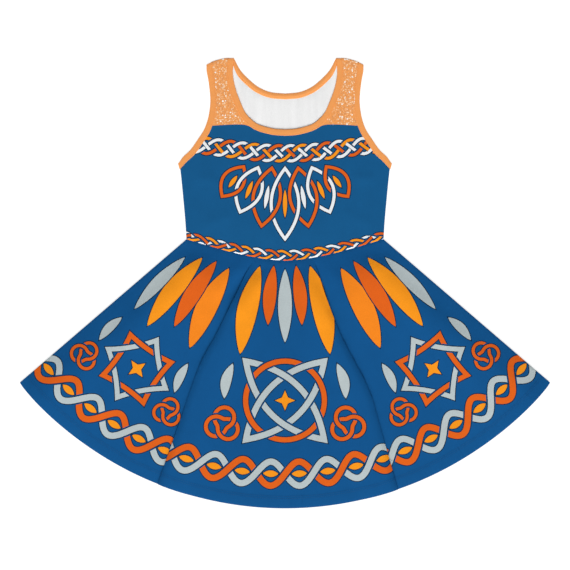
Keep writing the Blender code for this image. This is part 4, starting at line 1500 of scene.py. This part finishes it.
def make_stage():
    """A plain pale floor, soft light from above the hem's side, and the camera straight above."""
    floor_mesh = bpy.data.meshes.new("floor")
    corners = [(x * FLOOR_HALF, y * FLOOR_HALF, -FLOOR_DROP) for x, y in ((-1, -1), (1, -1), (1, 1), (-1, 1))]
    floor_mesh.from_pydata(corners, [], [(0, 1, 2, 3)])
    made, _, _, shader = material("pale_floor")
    shader.inputs["Base Color"].default_value = (FLOOR_GREY, FLOOR_GREY, FLOOR_GREY, 1.0)
    shader.inputs["Roughness"].default_value = 0.9
    shader.inputs["Emission Color"].default_value = (1.0, 1.0, 1.0, 1.0)
    shader.inputs["Emission Strength"].default_value = FLOOR_GLOW
    floor_mesh.materials.append(made)
    floor = bpy.data.objects.new("floor", floor_mesh)
    bpy.context.scene.collection.objects.link(floor)

    world = bpy.data.worlds.new("studio")
    world.use_nodes = True
    world.node_tree.nodes["Background"].inputs["Color"].default_value = (1.0, 1.0, 1.0, 1.0)
    world.node_tree.nodes["Background"].inputs["Strength"].default_value = WORLD_LIGHT
    bpy.context.scene.world = world
    key = bpy.data.lights.new("key_from_the_hem_side", "SUN")
    key.energy = KEY_LIGHT
    key.angle = KEY_SOFTNESS
    holder = bpy.data.objects.new("key_from_the_hem_side", key)
    holder.rotation_euler = (0.5 * math.pi - KEY_HEIGHT, 0.0, 0.0)
    bpy.context.scene.collection.objects.link(holder)

    camera = bpy.data.cameras.new("camera")
    camera.sensor_width = SENSOR
    camera.lens = LENS
    viewer = bpy.data.objects.new("camera", camera)
    bpy.context.scene.collection.objects.link(viewer)
    viewer.location = (0.0, FRAME_CENTRE_Y, 2.0 * JERSEY + FRAME_WIDTH * LENS / SENSOR)
    bpy.context.scene.camera = viewer
    bpy.context.scene.view_settings.view_transform = "Standard"


SKIRT_MARGIN, BODICE_MARGIN = 0.003, 0.002   # least distances of a panel's grid from its outline
SHOULDER_BENDS = (0.07, 0.25, 0.5, 0.85)     # lines over the bend at the shoulder, as shares of its width


def make_skirt(jersey, inside_cloth):
    """The front and the back skirt, whose turned hems show the printed side inside too."""
    materials = (jersey, jersey, inside_cloth, jersey)
    outline = skirt_front_outline()
    mesh = cloth_mesh("skirt_front", outline, skirt_front_grid(), skirt_front_surface, "skirt blue",
                      paint_skirt(), fold_lines(), {"turned hem": 1})
    front = add_panel("skirt_front_cloth", mesh, materials, 2, "skirt_front")

    angle = np.linspace(-SKIRT_HALF_ANGLE, SKIRT_HALF_ANGLE, BACK_HEM_POINTS)
    hem, top = from_polar(angle, hem_reach(angle)), from_polar(angle, waist_reach(angle) - SEAM_LAP)
    outline = np.vstack([hem, top[::-1]])
    art = Print("skirt blue")
    turned_hem(art, angle, hem_reach(angle))
    mesh = cloth_mesh("skirt_back", outline, inside_grid(outline, SKIRT_MARGIN)[::BACK_THINNING],
                      skirt_back_surface, "skirt blue", art, slots={"turned hem": 1}, face_up=False)
    back = add_panel("skirt_back_cloth", mesh, materials, 2, "skirt_back")


def make_bodice(jersey, inside_cloth, bindings):
    """The front bodice with its yoke, and the back bodice."""
    outline = bodice_outline(FRONT_NECK_EDGE, FRONT_NECK_BINDING, OVER_SHOULDER)
    bends = [(OVER_SHOULDER - (0.0, share * SHOULDER_WRAP)) * (side, 1.0)
             for side in (-1.0, 1.0) for share in SHOULDER_BENDS]
    mesh = cloth_mesh("bodice_front", outline, inside_grid(outline, BODICE_MARGIN),
                      bodice_front_surface(outline), "bodice blue", paint_bodice(), bends, {"yoke": 1})
    front = add_panel("bodice_front_cloth", mesh, (jersey, glitter_jersey(), inside_cloth), 2, "bodice_front")

    outline = bodice_outline(BACK_NECK_EDGE, BACK_NECK_BINDING, SHOULDER_LINE)
    mesh = cloth_mesh("bodice_back", outline, inside_grid(outline, BODICE_MARGIN),
                      bodice_back_surface(outline), "bodice blue", face_up=False)
    back = add_panel("bodice_back_cloth", mesh, (jersey, inside_cloth), 1, "bodice_back")


def make_dress():
    """Every visible piece of the dress."""
    jersey = printed_jersey()
    inside_cloth, binding, orange_thread, blue_thread = (plain_cloth(name) for name in PLAIN_CLOTHS)
    make_skirt(jersey, inside_cloth)
    make_bodice(jersey, inside_cloth, make_bindings(binding))
    stitch_rows("binding_stitches", binding_rows(), orange_thread)
    stitch_rows("hem_stitches", hem_rows(), blue_thread)


make_stage()
make_dress()
